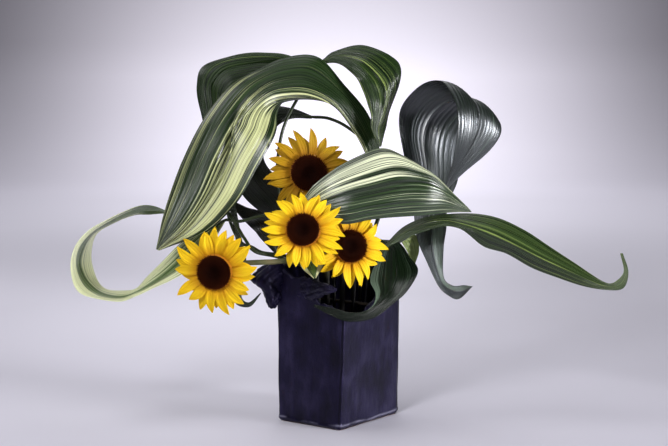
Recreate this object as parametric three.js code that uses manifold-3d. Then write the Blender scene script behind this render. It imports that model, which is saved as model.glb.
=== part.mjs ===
// An ikebana arrangement: four sunflowers and thirteen aspidistra leaves, bent and curled,
// standing in the water of a tall slab-built vase with a torn rim.
// Millimetres, +Z up. The origin is the middle of the vase's foot, on the surface that it stands on.
// The arrangement is looked at along +Y, with +X to the right.

import * as THREE from 'three';
import { mergeVertices } from 'three/addons/utils/BufferGeometryUtils.js';
import Module from 'manifold-3d';

const wasm = await Module();
wasm.setup();

// ---------------------------------------------------------------- driving dimensions

const VASE = {
  halfLong: 72.2, // half of the long side of the foot
  halfShort: 59.9, // half of the short side
  turn: 54.6 * Math.PI / 180, // the long side is turned this far from +X, towards +Y
  height: 238,
  wall: 7,
  floor: 10,
  cornerRadius: 6,
  flare: 0.017, // the rim is this much wider than the foot
  flapThickness: 5,
  footInset: 4, // the foot's flat face ends this far inside the wall
  frontLean: 6, // the front corner's foot stands this far to the left of its top
  frontTop: 168, // where the front corner ends, at the torn rim
};

const WATER_LEVEL = 150;
const GAP = 0.3; // between pieces that touch

const CROSSBAR = { along: 12.3, height: 173, radius: 2.6 };

const LEAF_THICKNESS = 0.9;
const LEAF_BOW = 0.07; // how far each half of a blade arches, as a part of its width
const LEAF_LEAST_WIDTH = 2;
const PETIOLE_RADIUS = 2.4;
const STEM_RADIUS = 3.9;
const STEM_FOOT_SPREAD = 0.62; // how far out the cut ends stand, as a part of their place in the mouth
const MOUTH_HEIGHT = 229;

const PETALS_PER_WHORL = 14;
const PETAL_THICKNESS = 0.8;
const PETAL_HALF_WIDTH = 6.8;
const BRACTS = 8;
const BRACT_HALF_WIDTH = 5.6;
const BRACT_THICKNESS = 1;

const vec = (x, y, z) => new THREE.Vector3(x, y, z);

// ---------------------------------------------------------------- general forms

// A solid from a list of corner points and a list of triangles.
function solidFrom(points, triangles) {
  const geometry = new THREE.BufferGeometry();
  geometry.setAttribute('position', new THREE.Float32BufferAttribute(points.flatMap((p) => [p.x, p.y, p.z]), 3));
  geometry.setIndex(triangles);
  return geometry;
}

// Closed loops of points, one above the other, skinned, with a flat fan over the first and last.
function ringStack(rings) {
  const around = rings[0].length;
  const points = rings.flat();
  const triangles = [];
  for (let i = 0; i + 1 < rings.length; i += 1) {
    for (let k = 0; k < around; k += 1) {
      const a = i * around + k;
      const b = i * around + (k + 1) % around;
      triangles.push(a, b, b + around, a, b + around, a + around);
    }
  }
  const middle = (ring) => ring.reduce((sum, p) => sum.add(p), vec(0, 0, 0)).divideScalar(ring.length);
  const top = (rings.length - 1) * around;
  points.push(middle(rings[0]), middle(rings.at(-1)));
  for (let k = 0; k < around; k += 1) {
    const next = (k + 1) % around;
    triangles.push(points.length - 2, next, k, points.length - 1, top + k, top + next);
  }
  return solidFrom(points, triangles);
}

// A smooth line through the points, as two steps from each to the next.
function smoothLine(points) {
  return new THREE.CatmullRomCurve3(points, false, 'catmullrom', 0.5).getPoints(2 * (points.length - 1));
}

// A round bar along a line of points, with one radius for each.
function bar(line, radii, sides) {
  let across = vec(1, 0, 0);
  return ringStack(line.map((centre, i) => {
    const before = centre.clone().sub(line[Math.max(i - 1, 0)]).normalize();
    const after = line[Math.min(i + 1, line.length - 1)].clone().sub(centre).normalize();
    const along = before.add(after).normalize();
    across = across.clone().addScaledVector(along, -across.dot(along)).normalize();
    const up = along.clone().cross(across);
    return Array.from({ length: sides }, (_, k) => centre.clone()
      .addScaledVector(across, radii[i] * Math.cos(2 * Math.PI * k / sides))
      .addScaledVector(up, radii[i] * Math.sin(2 * Math.PI * k / sides)));
  }));
}

// The unit normals of a grid of points, on the side that the eye sees with "across" to its right.
function gridNormals(grid) {
  return grid.map((row, i) => row.map((_, j) => {
    const along = grid[Math.min(i + 1, grid.length - 1)][j].clone().sub(grid[Math.max(i - 1, 0)][j]);
    const across = row[Math.min(j + 1, row.length - 1)].clone().sub(row[Math.max(j - 1, 0)]);
    return across.cross(along).normalize();
  }));
}

// A sheet of even thickness whose middle surface is the grid; both faces are split alike.
function sheet(grid, thickness) {
  const normals = gridNormals(grid);
  const rows = grid.length;
  const columns = grid[0].length;
  const front = grid.flatMap((row, i) => row.map((p, j) => p.clone().addScaledVector(normals[i][j], thickness / 2)));
  const back = grid.flatMap((row, i) => row.map((p, j) => p.clone().addScaledVector(normals[i][j], -thickness / 2)));
  const half = front.length;
  const triangles = [];
  for (let i = 0; i + 1 < rows; i += 1) {
    for (let j = 0; j + 1 < columns; j += 1) {
      const a = i * columns + j;
      const b = a + 1;
      const c = b + columns;
      const d = a + columns;
      triangles.push(a, b, c, a, c, d);
      triangles.push(half + a, half + c, half + b, half + a, half + d, half + c);
    }
  }
  const edge = [];
  for (let j = 0; j + 1 < columns; j += 1) edge.push([j, j + 1]);
  for (let i = 0; i + 1 < rows; i += 1) edge.push([(i + 1) * columns - 1, (i + 2) * columns - 1]);
  for (let j = columns - 1; j > 0; j -= 1) edge.push([(rows - 1) * columns + j, (rows - 1) * columns + j - 1]);
  for (let i = rows - 1; i > 0; i -= 1) edge.push([i * columns, (i - 1) * columns]);
  for (const [a, b] of edge) triangles.push(a, half + b, b, a, half + a, half + b);
  return solidFrom([...front, ...back], triangles);
}

function toManifold(geometry) {
  const bare = geometry.clone();
  bare.deleteAttribute('normal');
  bare.deleteAttribute('uv');
  const merged = mergeVertices(bare, 1e-4);
  return new wasm.Manifold(new wasm.Mesh({
    numProp: 3,
    vertProperties: new Float32Array(merged.attributes.position.array),
    triVerts: new Uint32Array(merged.index.array),
  }));
}

function toGeometry(manifold) {
  const mesh = manifold.getMesh();
  const geometry = new THREE.BufferGeometry();
  geometry.setAttribute('position', new THREE.Float32BufferAttribute(new Float32Array(mesh.vertProperties), 3));
  geometry.setIndex([...mesh.triVerts]);
  return geometry;
}

// Several closed forms grown together into one body; a pocket closed in between them is filled.
function fuse(geometries) {
  const joined = geometries.map(toManifold).reduce((body, next) => body.add(next));
  return toGeometry(joined.decompose().sort((a, b) => b.volume() - a.volume())[0]);
}

// A small steady difference between repeats, from -1 to 1.
function vary(index, kind) {
  const value = Math.sin(index * 12.9898 + kind * 78.233) * 43758.5453;
  return 2 * (value - Math.floor(value)) - 1;
}

// ---------------------------------------------------------------- the vase

// A point of the vase's own plan (long side, short side), turned into the arrangement's X and Y.
// The front corner leans, and takes the two walls that meet in it along.
function fromVasePlan(long, short, z) {
  const c = Math.cos(VASE.turn);
  const s = Math.sin(VASE.turn);
  const nearFront = (1 - long / VASE.halfLong) * (1 - short / VASE.halfShort) / 4;
  const lean = VASE.frontLean * Math.max(0, 1 - z / VASE.frontTop) * nearFront;
  return vec(c * long - s * short - lean, s * long + c * short, z);
}

// The height of the torn rim by the distance along its edge: it starts at the left corner and goes
// over the front corner, the right corner and the back corner, and home.
const RIM = [
  [0, 232], [10, 227], [27, 218], [44, 219], [61, 217], [68, 193], [77, 184], [99, 181], [120, 166],
  [135, 163], [171, 166], [185, 177], [202, 183], [217, 200], [234, 219], [248, 234], [264, 238],
  [288, 232], [315, 237], [341, 230], [384, 238], [412, 233], [441, 239], [471, 231], [497, 236], [529, 232],
];

function rimHeight(distance) {
  const next = Math.max(1, RIM.findIndex(([place]) => place >= distance));
  const [s0, z0] = RIM[next - 1];
  const [s1, z1] = RIM[next];
  return z0 + (z1 - z0) * (distance - s0) / (s1 - s0);
}

// The outline of a rectangle with rounded corners as [long, short, distance along the edge],
// starting after the left corner and going over the front corner.
function vaseOutline(inset) {
  const a = VASE.halfLong - inset;
  const b = VASE.halfShort - inset;
  const r = VASE.cornerRadius;
  const corners = [[-a, b], [-a, -b], [a, -b], [a, b]];
  const cells = [7, 10, 7, 9];
  const outline = [];
  let start = 0;
  corners.forEach(([x0, y0], side) => {
    const [x1, y1] = corners[(side + 1) % 4];
    const length = Math.hypot(x1 - x0, y1 - y0);
    const fullLength = length + 2 * inset;
    const [dx, dy] = [(x1 - x0) / length, (y1 - y0) / length];
    const [inX, inY] = [-dy, dx]; // towards the middle of the vase
    const cut = r * (1 - Math.SQRT1_2);
    outline.push([x0 + (dx + inX) * cut, y0 + (dy + inY) * cut, start]);
    for (let k = 0; k <= cells[side]; k += 1) {
      const along = r + (length - 2 * r) * k / cells[side];
      outline.push([x0 + dx * along, y0 + dy * along, start + (inset + along)]);
    }
    start += fullLength;
  });
  return outline;
}

// One level ring of the vase; level runs from 0 at the foot to 1 at the torn rim.
function vaseRing(inset, level, base) {
  return vaseOutline(inset).map(([long, short, distance]) => {
    const z = base + (rimHeight(distance) - base) * level;
    const ripple = 1 + 0.008 * Math.sin(z / 31 + long / 40) * Math.sin(level * Math.PI);
    const wide = (1 + VASE.flare * z / VASE.height) * ripple;
    return fromVasePlan(long * wide, short * wide, z);
  });
}

// The flap of clay torn from the rim at the left corner, which hangs outside: three lines down it.
const LEFT_FLAP = [
  [[-99, -22, 236], [-86, -24, 239], [-78, -27, 227]],
  [[-116, -27, 229], [-99, -34, 229], [-83, -28, 217]],
  [[-130, -31, 213], [-108, -42, 211], [-85, -28, 203]],
  [[-115, -33, 200], [-102, -41, 195], [-86, -28, 189]],
  [[-107, -33, 185], [-99, -39, 181], [-87, -28, 180]],
  [[-104, -31, 172], [-99, -34, 170], [-94, -29, 171]],
];

// The tongue of clay torn from the rim near the front corner, which leans out over the notch.
const FRONT_TONGUE = [
  [[-61, -39, 215], [-61, -41, 201], [-61, -42, 189]],
  [[-49, -52, 219], [-49, -53, 203], [-49, -51, 187]],
  [[-35, -66, 217], [-36, -67, 202], [-37, -63, 187]],
  [[-18, -91, 215], [-19, -90, 207], [-20, -86, 199]],
  [[-4, -108, 211], [-4, -107, 209], [-5, -105, 207]],
];

function flap(stations) {
  return sheet(smoothGrid(stations, 2, 2), VASE.flapThickness);
}

function vase() {
  const outside = [0.025, 0.08, 0.5, 0.9, 1].map((level) => vaseRing(0, level, 0));
  const inside = [1, 0.5, 0].map((level) => vaseRing(VASE.wall, level, VASE.floor));
  const foot = vaseRing(VASE.footInset, 0, 0);
  const body = ringStack([foot, ...outside, ...inside]);
  return fuse([body, flap(LEFT_FLAP), flap(FRONT_TONGUE)]);
}

// The twig wedged across the mouth, which keeps the stems apart.
function crossbar() {
  const reach = (VASE.halfShort - VASE.wall) * (1 + VASE.flare * CROSSBAR.height / VASE.height) - 1;
  const along = CROSSBAR.along;
  const ends = [-reach, 0, reach].map((short) => fromVasePlan(along, short, CROSSBAR.height));
  return bar(ends, ends.map(() => CROSSBAR.radius), 10);
}

// ---------------------------------------------------------------- leaves

// A smooth grid through stations: each station is a line of points across the blade.
function smoothGrid(stations, cellsAlong, cellsBetween) {
  const lines = stations[0].map((_, rail) => new THREE.CatmullRomCurve3(
    stations.map((station) => vec(...station[rail])), false, 'catmullrom', 0.5));
  const rows = cellsAlong * (stations.length - 1);
  const grid = [];
  for (let i = 0; i <= rows; i += 1) {
    const marks = lines.map((line) => line.getPoint(i / rows));
    const row = [marks[0]];
    for (let rail = 0; rail + 1 < marks.length; rail += 1) {
      for (let k = 1; k <= cellsBetween; k += 1) row.push(marks[rail].clone().lerp(marks[rail + 1], k / cellsBetween));
    }
    grid.push(row);
  }
  return grid;
}

// Each half of a wide blade arches a little, and no row is narrower than the least width.
function blade(leaf) {
  const between = leaf.wide ? 2 : 1;
  const grid = smoothGrid(leaf.stations, 2, between);
  const normals = gridNormals(grid);
  const last = grid[0].length - 1;
  grid.forEach((row, i) => {
    const inner = grid[Math.min(Math.max(i, 1), grid.length - 2)];
    const across = inner[last].clone().sub(inner[0]).normalize();
    const width = row[0].distanceTo(row[last]);
    row.forEach((p, j) => {
      const part = (j % between) / between;
      p.addScaledVector(normals[i][j], LEAF_BOW * width * 4 * part * (1 - part));
      p.addScaledVector(across, (j / last - 0.5) * LEAF_LEAST_WIDTH);
    });
  });
  return sheet(grid, LEAF_THICKNESS);
}

// The cut end of a stem stands on the vase's floor, nearer the middle than its place in the mouth.
function standingPlace(mouth, z) {
  const rise = (z - VASE.floor) / (MOUTH_HEIGHT - VASE.floor);
  const spread = STEM_FOOT_SPREAD + (1 - STEM_FOOT_SPREAD) * rise;
  return vec(mouth[0] * spread, mouth[1] * spread, z);
}

// A stem's line: straight from the vase's floor to the mouth, then smoothly through its other points.
function stemLine(mouth, route, end) {
  const foot = standingPlace(mouth, VASE.floor + GAP + 1);
  return [foot, ...smoothLine([standingPlace(mouth, MOUTH_HEIGHT), ...route.map((p) => vec(...p)), ...end])];
}

// The petiole follows its route into the blade, where it is thinner, as the root of the midrib.
function petiole(leaf) {
  const middle = Math.floor(leaf.stations[0].length / 2);
  const [base, next] = leaf.stations.slice(0, 2).map((station) => vec(...station[middle]));
  const line = stemLine(leaf.mouth, leaf.route, [base, base.clone().lerp(next, 0.7)]);
  return bar(line, line.map((_, i) => PETIOLE_RADIUS * (i < line.length - 2 ? 1 : 0.6)), 5);
}

// Each leaf: where its petiole passes the mouth, the petiole's route from there to the blade, and the
// blade's stations from base to tip. A station is a line across: left edge, midrib, right edge.
const LEAVES = {
  // the great arch that folds over and hangs down in front; its second point is a fold line
  leaf_arch: {
    wide: true,
    mouth: [22, 16],
    route: [[50, 22, 272]],
    stations: [
      [[62, 36, 321], [63, 35, 322], [64, 34, 323], [66, 34, 324]],
      [[44, 48, 394], [40, 38, 394], [49, 40, 398], [60, 44, 399]],
      [[25, 50, 436], [17, 32, 433], [27, 36, 444], [42, 48, 450]],
      [[1, 46, 468], [-10, 22, 466], [-6, 28, 480], [7, 52, 494]],
      [[-37, 40, 481], [-47, 10, 478], [-47, 20, 500], [-31, 48, 535]],
      [[-77, 24, 475], [-85, -6, 477], [-87, 8, 497], [-76, 38, 536]],
      [[-90, 0, 457], [-112, -20, 468], [-113, -5, 492], [-120, 28, 516]],
      [[-92, -20, 434], [-141, -32, 450], [-140, -22, 471], [-160, 4, 493]],
      [[-99, -34, 415], [-151, -40, 433], [-154, -38, 438], [-197, -18, 447]],
      [[-119, -48, 380], [-158, -51, 392], [-163, -52, 393], [-225, -38, 392]],
      [[-149, -64, 329], [-186, -68, 340], [-191, -70, 341], [-241, -58, 347]],
      [[-193, -80, 289], [-217, -82, 296], [-222, -84, 298], [-254, -74, 303]],
      [[-258, -92, 264], [-259, -92, 264], [-260, -93, 265], [-261, -92, 265]],
    ],
  },
  // the dark leaf that arches behind it
  leaf_back: {
    wide: true,
    mouth: [-50, -12],
    route: [[-90, -38, 247], [-122, -54, 257], [-137, -56, 276], [-149, -55, 296], [-162, -46, 316], [-178, -22, 345]],
    stations: [
      [[-187, 5, 378], [-186, 5, 378], [-185, 5, 378]],
      [[-197, 16, 414], [-189, 10, 416], [-180, 5, 417]],
      [[-204, 35, 452], [-187, 20, 456], [-164, 10, 456]],
      [[-212, 50, 493], [-189, 34, 491], [-158, 16, 478]],
      [[-204, 62, 521], [-175, 45, 514], [-147, 22, 488]],
      [[-164, 72, 535], [-144, 55, 524], [-126, 30, 494]],
      [[-116, 78, 542], [-107, 66, 527], [-94, 52, 499]],
      [[-69, 84, 534], [-66, 76, 518], [-60, 66, 496]],
      [[-27, 80, 497], [-26, 80, 495], [-27, 80, 494]],
    ],
  },
  // the leaf that stands highest, at the top right
  leaf_top: {
    wide: true,
    mouth: [-8, 10],
    route: [[-50, 8, 278], [-80, 6, 313], [-90, 14, 348], [-92, 25, 376], [-84, 42, 428], [-61, 52, 476]],
    stations: [
      [[-25, 59, 530], [-25, 59, 529], [-24, 59, 527]],
      [[-6, 62, 544], [-2, 56, 536], [-2, 50, 527]],
      [[37, 64, 552], [28, 48, 530], [18, 34, 515]],
      [[77, 66, 537], [54, 42, 508], [31, 26, 497]],
      [[92, 66, 513], [67, 38, 480], [40, 22, 477]],
      [[76, 62, 453], [62, 30, 454], [46, 20, 455]],
      [[68, 40, 427], [56, 24, 427], [49, 18, 431]],
      [[62, 22, 404], [61, 22, 404], [60, 22, 404]],
    ],
  },
  // the thin arch inside the great one, whose dark blade comes back down behind the flowers
  leaf_thin: {
    mouth: [34, 34],
    route: [[58, 50, 293], [65, 56, 337], [52, 68, 393], [17, 70, 427], [-14, 68, 443]],
    stations: [
      [[-41, 64, 444], [-41, 64, 446], [-41, 64, 447]],
      [[-72, 58, 444], [-72, 62, 451], [-72, 70, 458]],
      [[-96, 52, 430], [-102, 62, 445], [-107, 78, 459]],
      [[-115, 46, 405], [-131, 58, 415], [-150, 74, 426]],
      [[-114, 44, 388], [-134, 52, 385], [-153, 66, 373]],
      [[-105, 40, 368], [-126, 46, 353], [-148, 56, 335]],
      [[-76, 36, 337], [-100, 40, 322], [-119, 48, 305]],
      [[-58, 31, 303], [-75, 34, 292], [-88, 37, 281]],
      [[-51, 24, 265], [-52, 24, 265], [-54, 24, 265]],
    ],
  },
  // the striped leaf in front, which reaches right from behind the middle flower
  leaf_front: {
    wide: true,
    mouth: [-36, -34],
    route: [[-52, -45, 263], [-64, -60, 287]],
    stations: [
      [[-64, -70, 304], [-62, -70, 302], [-61, -70, 301]],
      [[-42, -80, 348], [-35, -86, 326], [-28, -86, 310]],
      [[-9, -80, 377], [1, -95, 342], [8, -92, 303]],
      [[27, -72, 396], [41, -92, 351], [47, -88, 309]],
      [[67, -62, 407], [84, -85, 360], [90, -80, 312]],
      [[105, -55, 388], [123, -76, 359], [131, -70, 314]],
      [[142, -50, 362], [151, -66, 347], [163, -62, 316]],
      [[189, -59, 318], [190, -59, 317], [191, -59, 316]],
    ],
  },
  // the loop at the far left
  leaf_left_loop: {
    mouth: [-40, 0],
    route: [[-58, -6, 259], [-80, -15, 291], [-108, -26, 306], [-144, -34, 299]],
    stations: [
      [[-167, -40, 299], [-167, -40, 301], [-167, -40, 302]],
      [[-188, -50, 265], [-195, -46, 276], [-204, -40, 287]],
      [[-210, -48, 236], [-221, -40, 250], [-233, -32, 265]],
      [[-244, -42, 215], [-251, -34, 224], [-261, -22, 235]],
      [[-274, -38, 201], [-277, -28, 205], [-285, -8, 211]],
      [[-298, -40, 190], [-300, -18, 191], [-303, 5, 193]],
      [[-321, -50, 182], [-324, -15, 184], [-327, 20, 188]],
      [[-354, -58, 188], [-354, -12, 189], [-351, 30, 190]],
      [[-379, -60, 201], [-375, -10, 207], [-366, 35, 203]],
      [[-389, -58, 231], [-385, -8, 232], [-374, 36, 229]],
      [[-386, -55, 259], [-380, -6, 256], [-371, 36, 253]],
      [[-371, -48, 282], [-367, -4, 274], [-363, 34, 272]],
      [[-346, -40, 299], [-343, -2, 290], [-343, 30, 286]],
      [[-300, -30, 318], [-303, 0, 310], [-306, 24, 302]],
      [[-273, -22, 319], [-277, 2, 311], [-281, 12, 305]],
      [[-250, -12, 310], [-250, -10, 309], [-250, -8, 308]],
    ],
  },
  // the dark glossy loop at the right, whose tip hangs down and curls
  leaf_right_loop: {
    wide: true,
    mouth: [44, 12],
    route: [[72, 6, 253], [105, -2, 275], [137, -2, 305]],
    stations: [
      [[155, 0, 342], [156, 0, 342], [157, 0, 342]],
      [[164, -14, 375], [172, -4, 373], [184, 6, 366]],
      [[172, -22, 407], [191, -2, 402], [218, 14, 395]],
      [[175, -24, 439], [205, 2, 432], [237, 20, 420]],
      [[173, -20, 464], [205, 8, 456], [239, 26, 437]],
      [[164, -5, 486], [198, 22, 472], [231, 40, 449]],
      [[149, 15, 500], [185, 40, 477], [221, 55, 452]],
      [[123, 30, 494], [162, 54, 469], [206, 68, 440]],
      [[97, 40, 468], [137, 60, 446], [190, 72, 416]],
      [[90, 40, 440], [126, 56, 415], [184, 66, 386]],
      [[97, 36, 395], [131, 46, 373], [178, 54, 350]],
      [[110, 28, 339], [135, 34, 326], [162, 32, 316]],
      [[116, 12, 275], [136, 18, 280], [159, 14, 283]],
      [[131, 0, 236], [140, 7, 242], [155, 5, 256]],
      [[147, -6, 201], [151, -2, 206], [155, 0, 212]],
      [[162, -6, 186], [165, -6, 193], [168, -6, 199]],
      [[178, -10, 181], [181, -10, 191], [185, -10, 200]],
      [[197, -15, 200], [197, -15, 200], [197, -15, 199]],
    ],
  },
  // the long leaf that reaches out to the right, with its tip turned up
  leaf_reach: {
    mouth: [24, -18],
    route: [[52, -38, 248]],
    stations: [
      [[67, -40, 264], [68, -40, 263], [69, -40, 262]],
      [[94, -28, 289], [96, -36, 283], [100, -40, 277]],
      [[126, -18, 302], [130, -34, 297], [134, -42, 289]],
      [[158, -8, 306], [159, -32, 299], [156, -40, 293]],
      [[199, -8, 306], [191, -36, 292], [181, -30, 286]],
      [[237, -10, 299], [223, -38, 281], [213, -20, 261]],
      [[274, -14, 282], [257, -40, 265], [247, -22, 251]],
      [[309, -20, 259], [293, -42, 247], [284, -26, 230]],
      [[343, -28, 237], [330, -45, 230], [319, -34, 217]],
      [[372, -38, 218], [366, -48, 214], [358, -42, 205]],
      [[392, -50, 209], [392, -50, 205], [389, -50, 201]],
      [[405, -50, 213], [410, -49, 209], [414, -48, 203]],
      [[416, -46, 227], [418, -46, 227], [421, -46, 226]],
      [[411, -42, 253], [412, -42, 253], [413, -42, 253]],
    ],
  },
  // the dark leaf that droops over the right side of the rim and across the front corner
  leaf_bowl: {
    mouth: [34, 0],
    route: [[46, -3, 250]],
    stations: [
      [[57, -2, 268], [58, -2, 267], [59, -3, 266]],
      [[89, -2, 263], [78, -14, 261], [66, -22, 252]],
      [[105, -12, 240], [83, -32, 239], [52, -42, 234]],
      [[115, -28, 223], [83, -50, 218], [46, -60, 215]],
      [[98, -48, 197], [75, -64, 198], [53, -74, 198]],
      [[76, -64, 181], [59, -80, 183], [51, -85, 186]],
      [[47, -84, 164], [40, -93, 172], [37, -95, 176]],
      [[14, -101, 163], [15, -104, 169], [15, -105, 175]],
      [[-12, -100, 172], [-10, -101, 177], [-9, -102, 181]],
      [[-36, -90, 183], [-36, -90, 183], [-36, -90, 184]],
    ],
  },
  // the short variegated leaf that hangs over the rim below the middle flower
  leaf_small: {
    mouth: [-32, -46],
    route: [],
    stations: [
      [[-39, -48, 241], [-41, -48, 241], [-43, -48, 241]],
      [[-31, -60, 254], [-44, -62, 255], [-58, -62, 255]],
      [[-23, -80, 245], [-41, -84, 243], [-53, -82, 238]],
      [[-34, -94, 224], [-35, -94, 224], [-36, -94, 224]],
    ],
  },
  // the short pale leaf at the right of the mouth
  leaf_pale: {
    mouth: [48, 26],
    route: [[79, 14, 256]],
    stations: [
      [[93, 14, 271], [92, 14, 270], [91, 14, 269]],
      [[115, 20, 271], [104, 17, 262], [95, 14, 261]],
      [[119, 22, 249], [109, 19, 247], [103, 17, 247]],
      [[113, 18, 229], [112, 18, 229], [111, 18, 229]],
    ],
  },
  // the dark blade that points up to the left behind the flowers
  leaf_dark: {
    mouth: [-34, 14],
    route: [[-58, -4, 239]],
    stations: [
      [[-86, -20, 242], [-84, -20, 243], [-83, -20, 244]],
      [[-111, -18, 268], [-102, -14, 273], [-92, -10, 280]],
      [[-125, -14, 284], [-120, -8, 295], [-112, -2, 306]],
      [[-143, -8, 301], [-142, -4, 309], [-139, 0, 316]],
      [[-164, 0, 326], [-164, 0, 327], [-164, 0, 328]],
    ],
  },
  // the narrow leaf that bends over behind the great one and hangs with its tip curled
  leaf_tail: {
    mouth: [-20, 24],
    route: [[-84, -5, 245], [-113, -12, 250], [-128, -14, 258], [-146, -16, 267], [-161, -13, 298]],
    stations: [
      [[-169, -6, 334], [-168, -6, 334], [-166, -6, 334]],
      [[-172, -16, 348], [-166, -20, 351], [-160, -16, 348]],
      [[-158, -28, 312], [-155, -30, 312], [-151, -28, 313]],
      [[-151, -31, 274], [-147, -32, 274], [-144, -31, 275]],
      [[-144, -34, 239], [-141, -36, 239], [-137, -34, 239]],
      [[-150, -36, 198], [-147, -38, 198], [-144, -36, 198]],
      [[-151, -36, 178], [-145, -38, 180], [-142, -36, 183]],
      [[-131, -36, 174], [-131, -38, 177], [-131, -36, 179]],
      [[-115, -36, 193], [-115, -36, 193], [-115, -36, 193]],
    ],
  },
};

// ---------------------------------------------------------------- sunflowers

// Each flower: the middle of its disc, the way that it faces, its sizes, and its stem.
const FLOWERS = [
  { centre: [-44, -50, 371], facing: [0.05, -0.98, 0.2], disc: 26, reach: 62, mouth: [-20, -10],
    route: [[-25, -12, 265], [-36, -18, 318]] },
  { centre: [-51, -125, 297], facing: [-0.04, -0.95, 0.3], disc: 23, reach: 58, mouth: [-18, -38],
    route: [[-24, -55, 269], [-40, -86, 286]] },
  { centre: [-177, -116, 236], facing: [-0.22, -0.97, -0.06], disc: 24.5, reach: 61, mouth: [-42, -18],
    route: [[-70, -48, 242], [-100, -70, 244], [-136, -82, 244], [-160, -87, 241]] },
  { centre: [16, -80, 268], facing: [0.34, -0.92, 0.18], disc: 23.5, reach: 57, mouth: [5, -34],
    route: [[7, -46, 253]] },
];

// Turns a flower's own frame, with its face along +Z, into the arrangement's.
function headFrame(flower) {
  const face = vec(...flower.facing).normalize();
  const right = vec(0, 0, 1).cross(face).normalize();
  const up = face.clone().cross(right);
  return new THREE.Matrix4().makeBasis(right, up, face).setPosition(...flower.centre);
}

const polar = (radius, angle, z) => vec(radius * Math.cos(angle), radius * Math.sin(angle), z);

function circleRing(radius, z, sides) {
  return Array.from({ length: sides }, (_, k) => polar(radius, 2 * Math.PI * k / sides, z));
}

// A pointed blade that grows out from the head: three lines, from its root (0) to its tip (1).
function rayGrid(from, to, angle, halfWidth, heightAt, keel, places) {
  const side = polar(1, angle + Math.PI / 2, 0);
  return places.map((t) => {
    const half = halfWidth * (0.5 + 1.7 * t - 0.9 * t ** 2 - 1.2 * t ** 4);
    const middle = polar(from + (to - from) * t, angle, heightAt(t));
    return [1, 0, -1].map((s) => middle.clone().addScaledVector(side, s * half)
      .add(vec(0, 0, keel * half * Math.abs(s))));
  });
}

// The ring of yellow petals: two whorls rooted in a thin plate behind the disc.
function petals(flower, which) {
  const plate = ringStack([-4.3, -GAP].map((z) => circleRing(flower.disc + 1.5, z, 15)));
  const solids = [plate];
  for (let whorl = 0; whorl < 2; whorl += 1) {
    for (let k = 0; k < PETALS_PER_WHORL; k += 1) {
      const id = which * 100 + whorl * 40 + k;
      const angle = 2 * Math.PI * (k + whorl / 2 + 0.12 * vary(id, 1)) / PETALS_PER_WHORL;
      const tip = flower.reach * (1 + 0.05 * vary(id, 2) - 0.03 * whorl);
      const lift = whorl === 0 ? 9 + 2 * vary(id, 3) : 1 + vary(id, 3);
      const heightAt = (t) => -2 - 1.4 * whorl + lift * t - 6.5 * t * t;
      solids.push(sheet(rayGrid(flower.disc - 1, tip, angle, PETAL_HALF_WIDTH, heightAt, 0.16, [0, 0.55, 1]), PETAL_THICKNESS));
    }
  }
  return fuse(solids);
}

// The disc of florets: a low dome with a sunken middle, its seeds raised where two sets of spirals cross.
function disc(flower) {
  const sides = 24;
  const rings = [];
  for (let i = 4; i >= 1; i -= 1) {
    const part = i / 4;
    const ring = [];
    for (let k = 0; k < sides; k += 1) {
      const angle = 2 * Math.PI * (k + i / 2) / sides;
      const seed = 0.8 * Math.cos(sides / 2 * angle) * part;
      const dome = 3.2 + 3.4 * Math.sin(Math.PI * Math.min(1, part * 1.02) ** 1.4) - 1.6 * Math.exp(-((part / 0.36) ** 2));
      ring.push(polar((flower.disc - 0.3) * part, angle, i === 4 ? 2.2 : dome + seed));
    }
    rings.push(ring);
  }
  return ringStack([circleRing(flower.disc - 1.2, 0, sides), ...rings]);
}

// The green stem with the cup behind the head and its pointed bracts.
function stem(flower, frame) {
  const cup = ringStack([[4, -19], [13, -15], [21, -9], [22, -4.6]].map(([r, z]) => circleRing(r * flower.disc / 24, z, 10)));
  const solids = [cup];
  for (let k = 0; k < BRACTS; k += 1) {
    const angle = 2 * Math.PI * (k + 0.2 * vary(k, 4)) / BRACTS;
    const reach = flower.reach * (0.72 + 0.08 * vary(k, 5));
    const heightAt = (t) => -7.5 - 5 * t + 2 * t * t;
    solids.push(sheet(rayGrid(flower.disc * 0.72, reach, angle, BRACT_HALF_WIDTH, heightAt, 0.1, [0, 0.55, 1]), BRACT_THICKNESS));
  }
  solids.forEach((solid) => solid.applyMatrix4(frame));
  const neck = vec(0, 0, -26).applyMatrix4(frame);
  const inside = vec(0, 0, -10).applyMatrix4(frame);
  const line = stemLine(flower.mouth, flower.route, [neck, inside]);
  return fuse([bar(line, line.map(() => STEM_RADIUS), 6), ...solids]);
}

// ---------------------------------------------------------------- water

// The water fills the vase to its level, with a plain hole round each stem.
function water() {
  const ring = (z) => vaseOutline(VASE.wall + 1.6).map(([long, short]) => fromVasePlan(long, short, z));
  let body = toManifold(ringStack([ring(VASE.floor + GAP), ring(WATER_LEVEL)]));
  const standing = [
    ...Object.values(LEAVES).map((leaf) => [leaf.mouth, PETIOLE_RADIUS]),
    ...FLOWERS.map((flower) => [flower.mouth, STEM_RADIUS]),
  ];
  for (const [mouth, radius] of standing) {
    const line = [standingPlace(mouth, 0), standingPlace(mouth, MOUTH_HEIGHT)];
    body = body.subtract(toManifold(bar(line, line.map(() => radius + 2 * GAP), 6)));
  }
  return toGeometry(body);
}

// ---------------------------------------------------------------- the arrangement

const MATERIALS = {
  glaze: { color: 0x1c1b2b, roughness: 0.42 },
  water: { color: 0xc8d8d4, roughness: 0.05, transparent: true, opacity: 0.35 },
  twig: { color: 0x6b5238, roughness: 0.8 },
  stem: { color: 0x5d6b35, roughness: 0.6 },
  petal: { color: 0xf2b81c, roughness: 0.55 },
  disc: { color: 0x2a120c, roughness: 0.85 },
  leaf: { color: 0x2f5a2c, roughness: 0.38 },
};

const arrangement = new THREE.Group();

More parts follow.
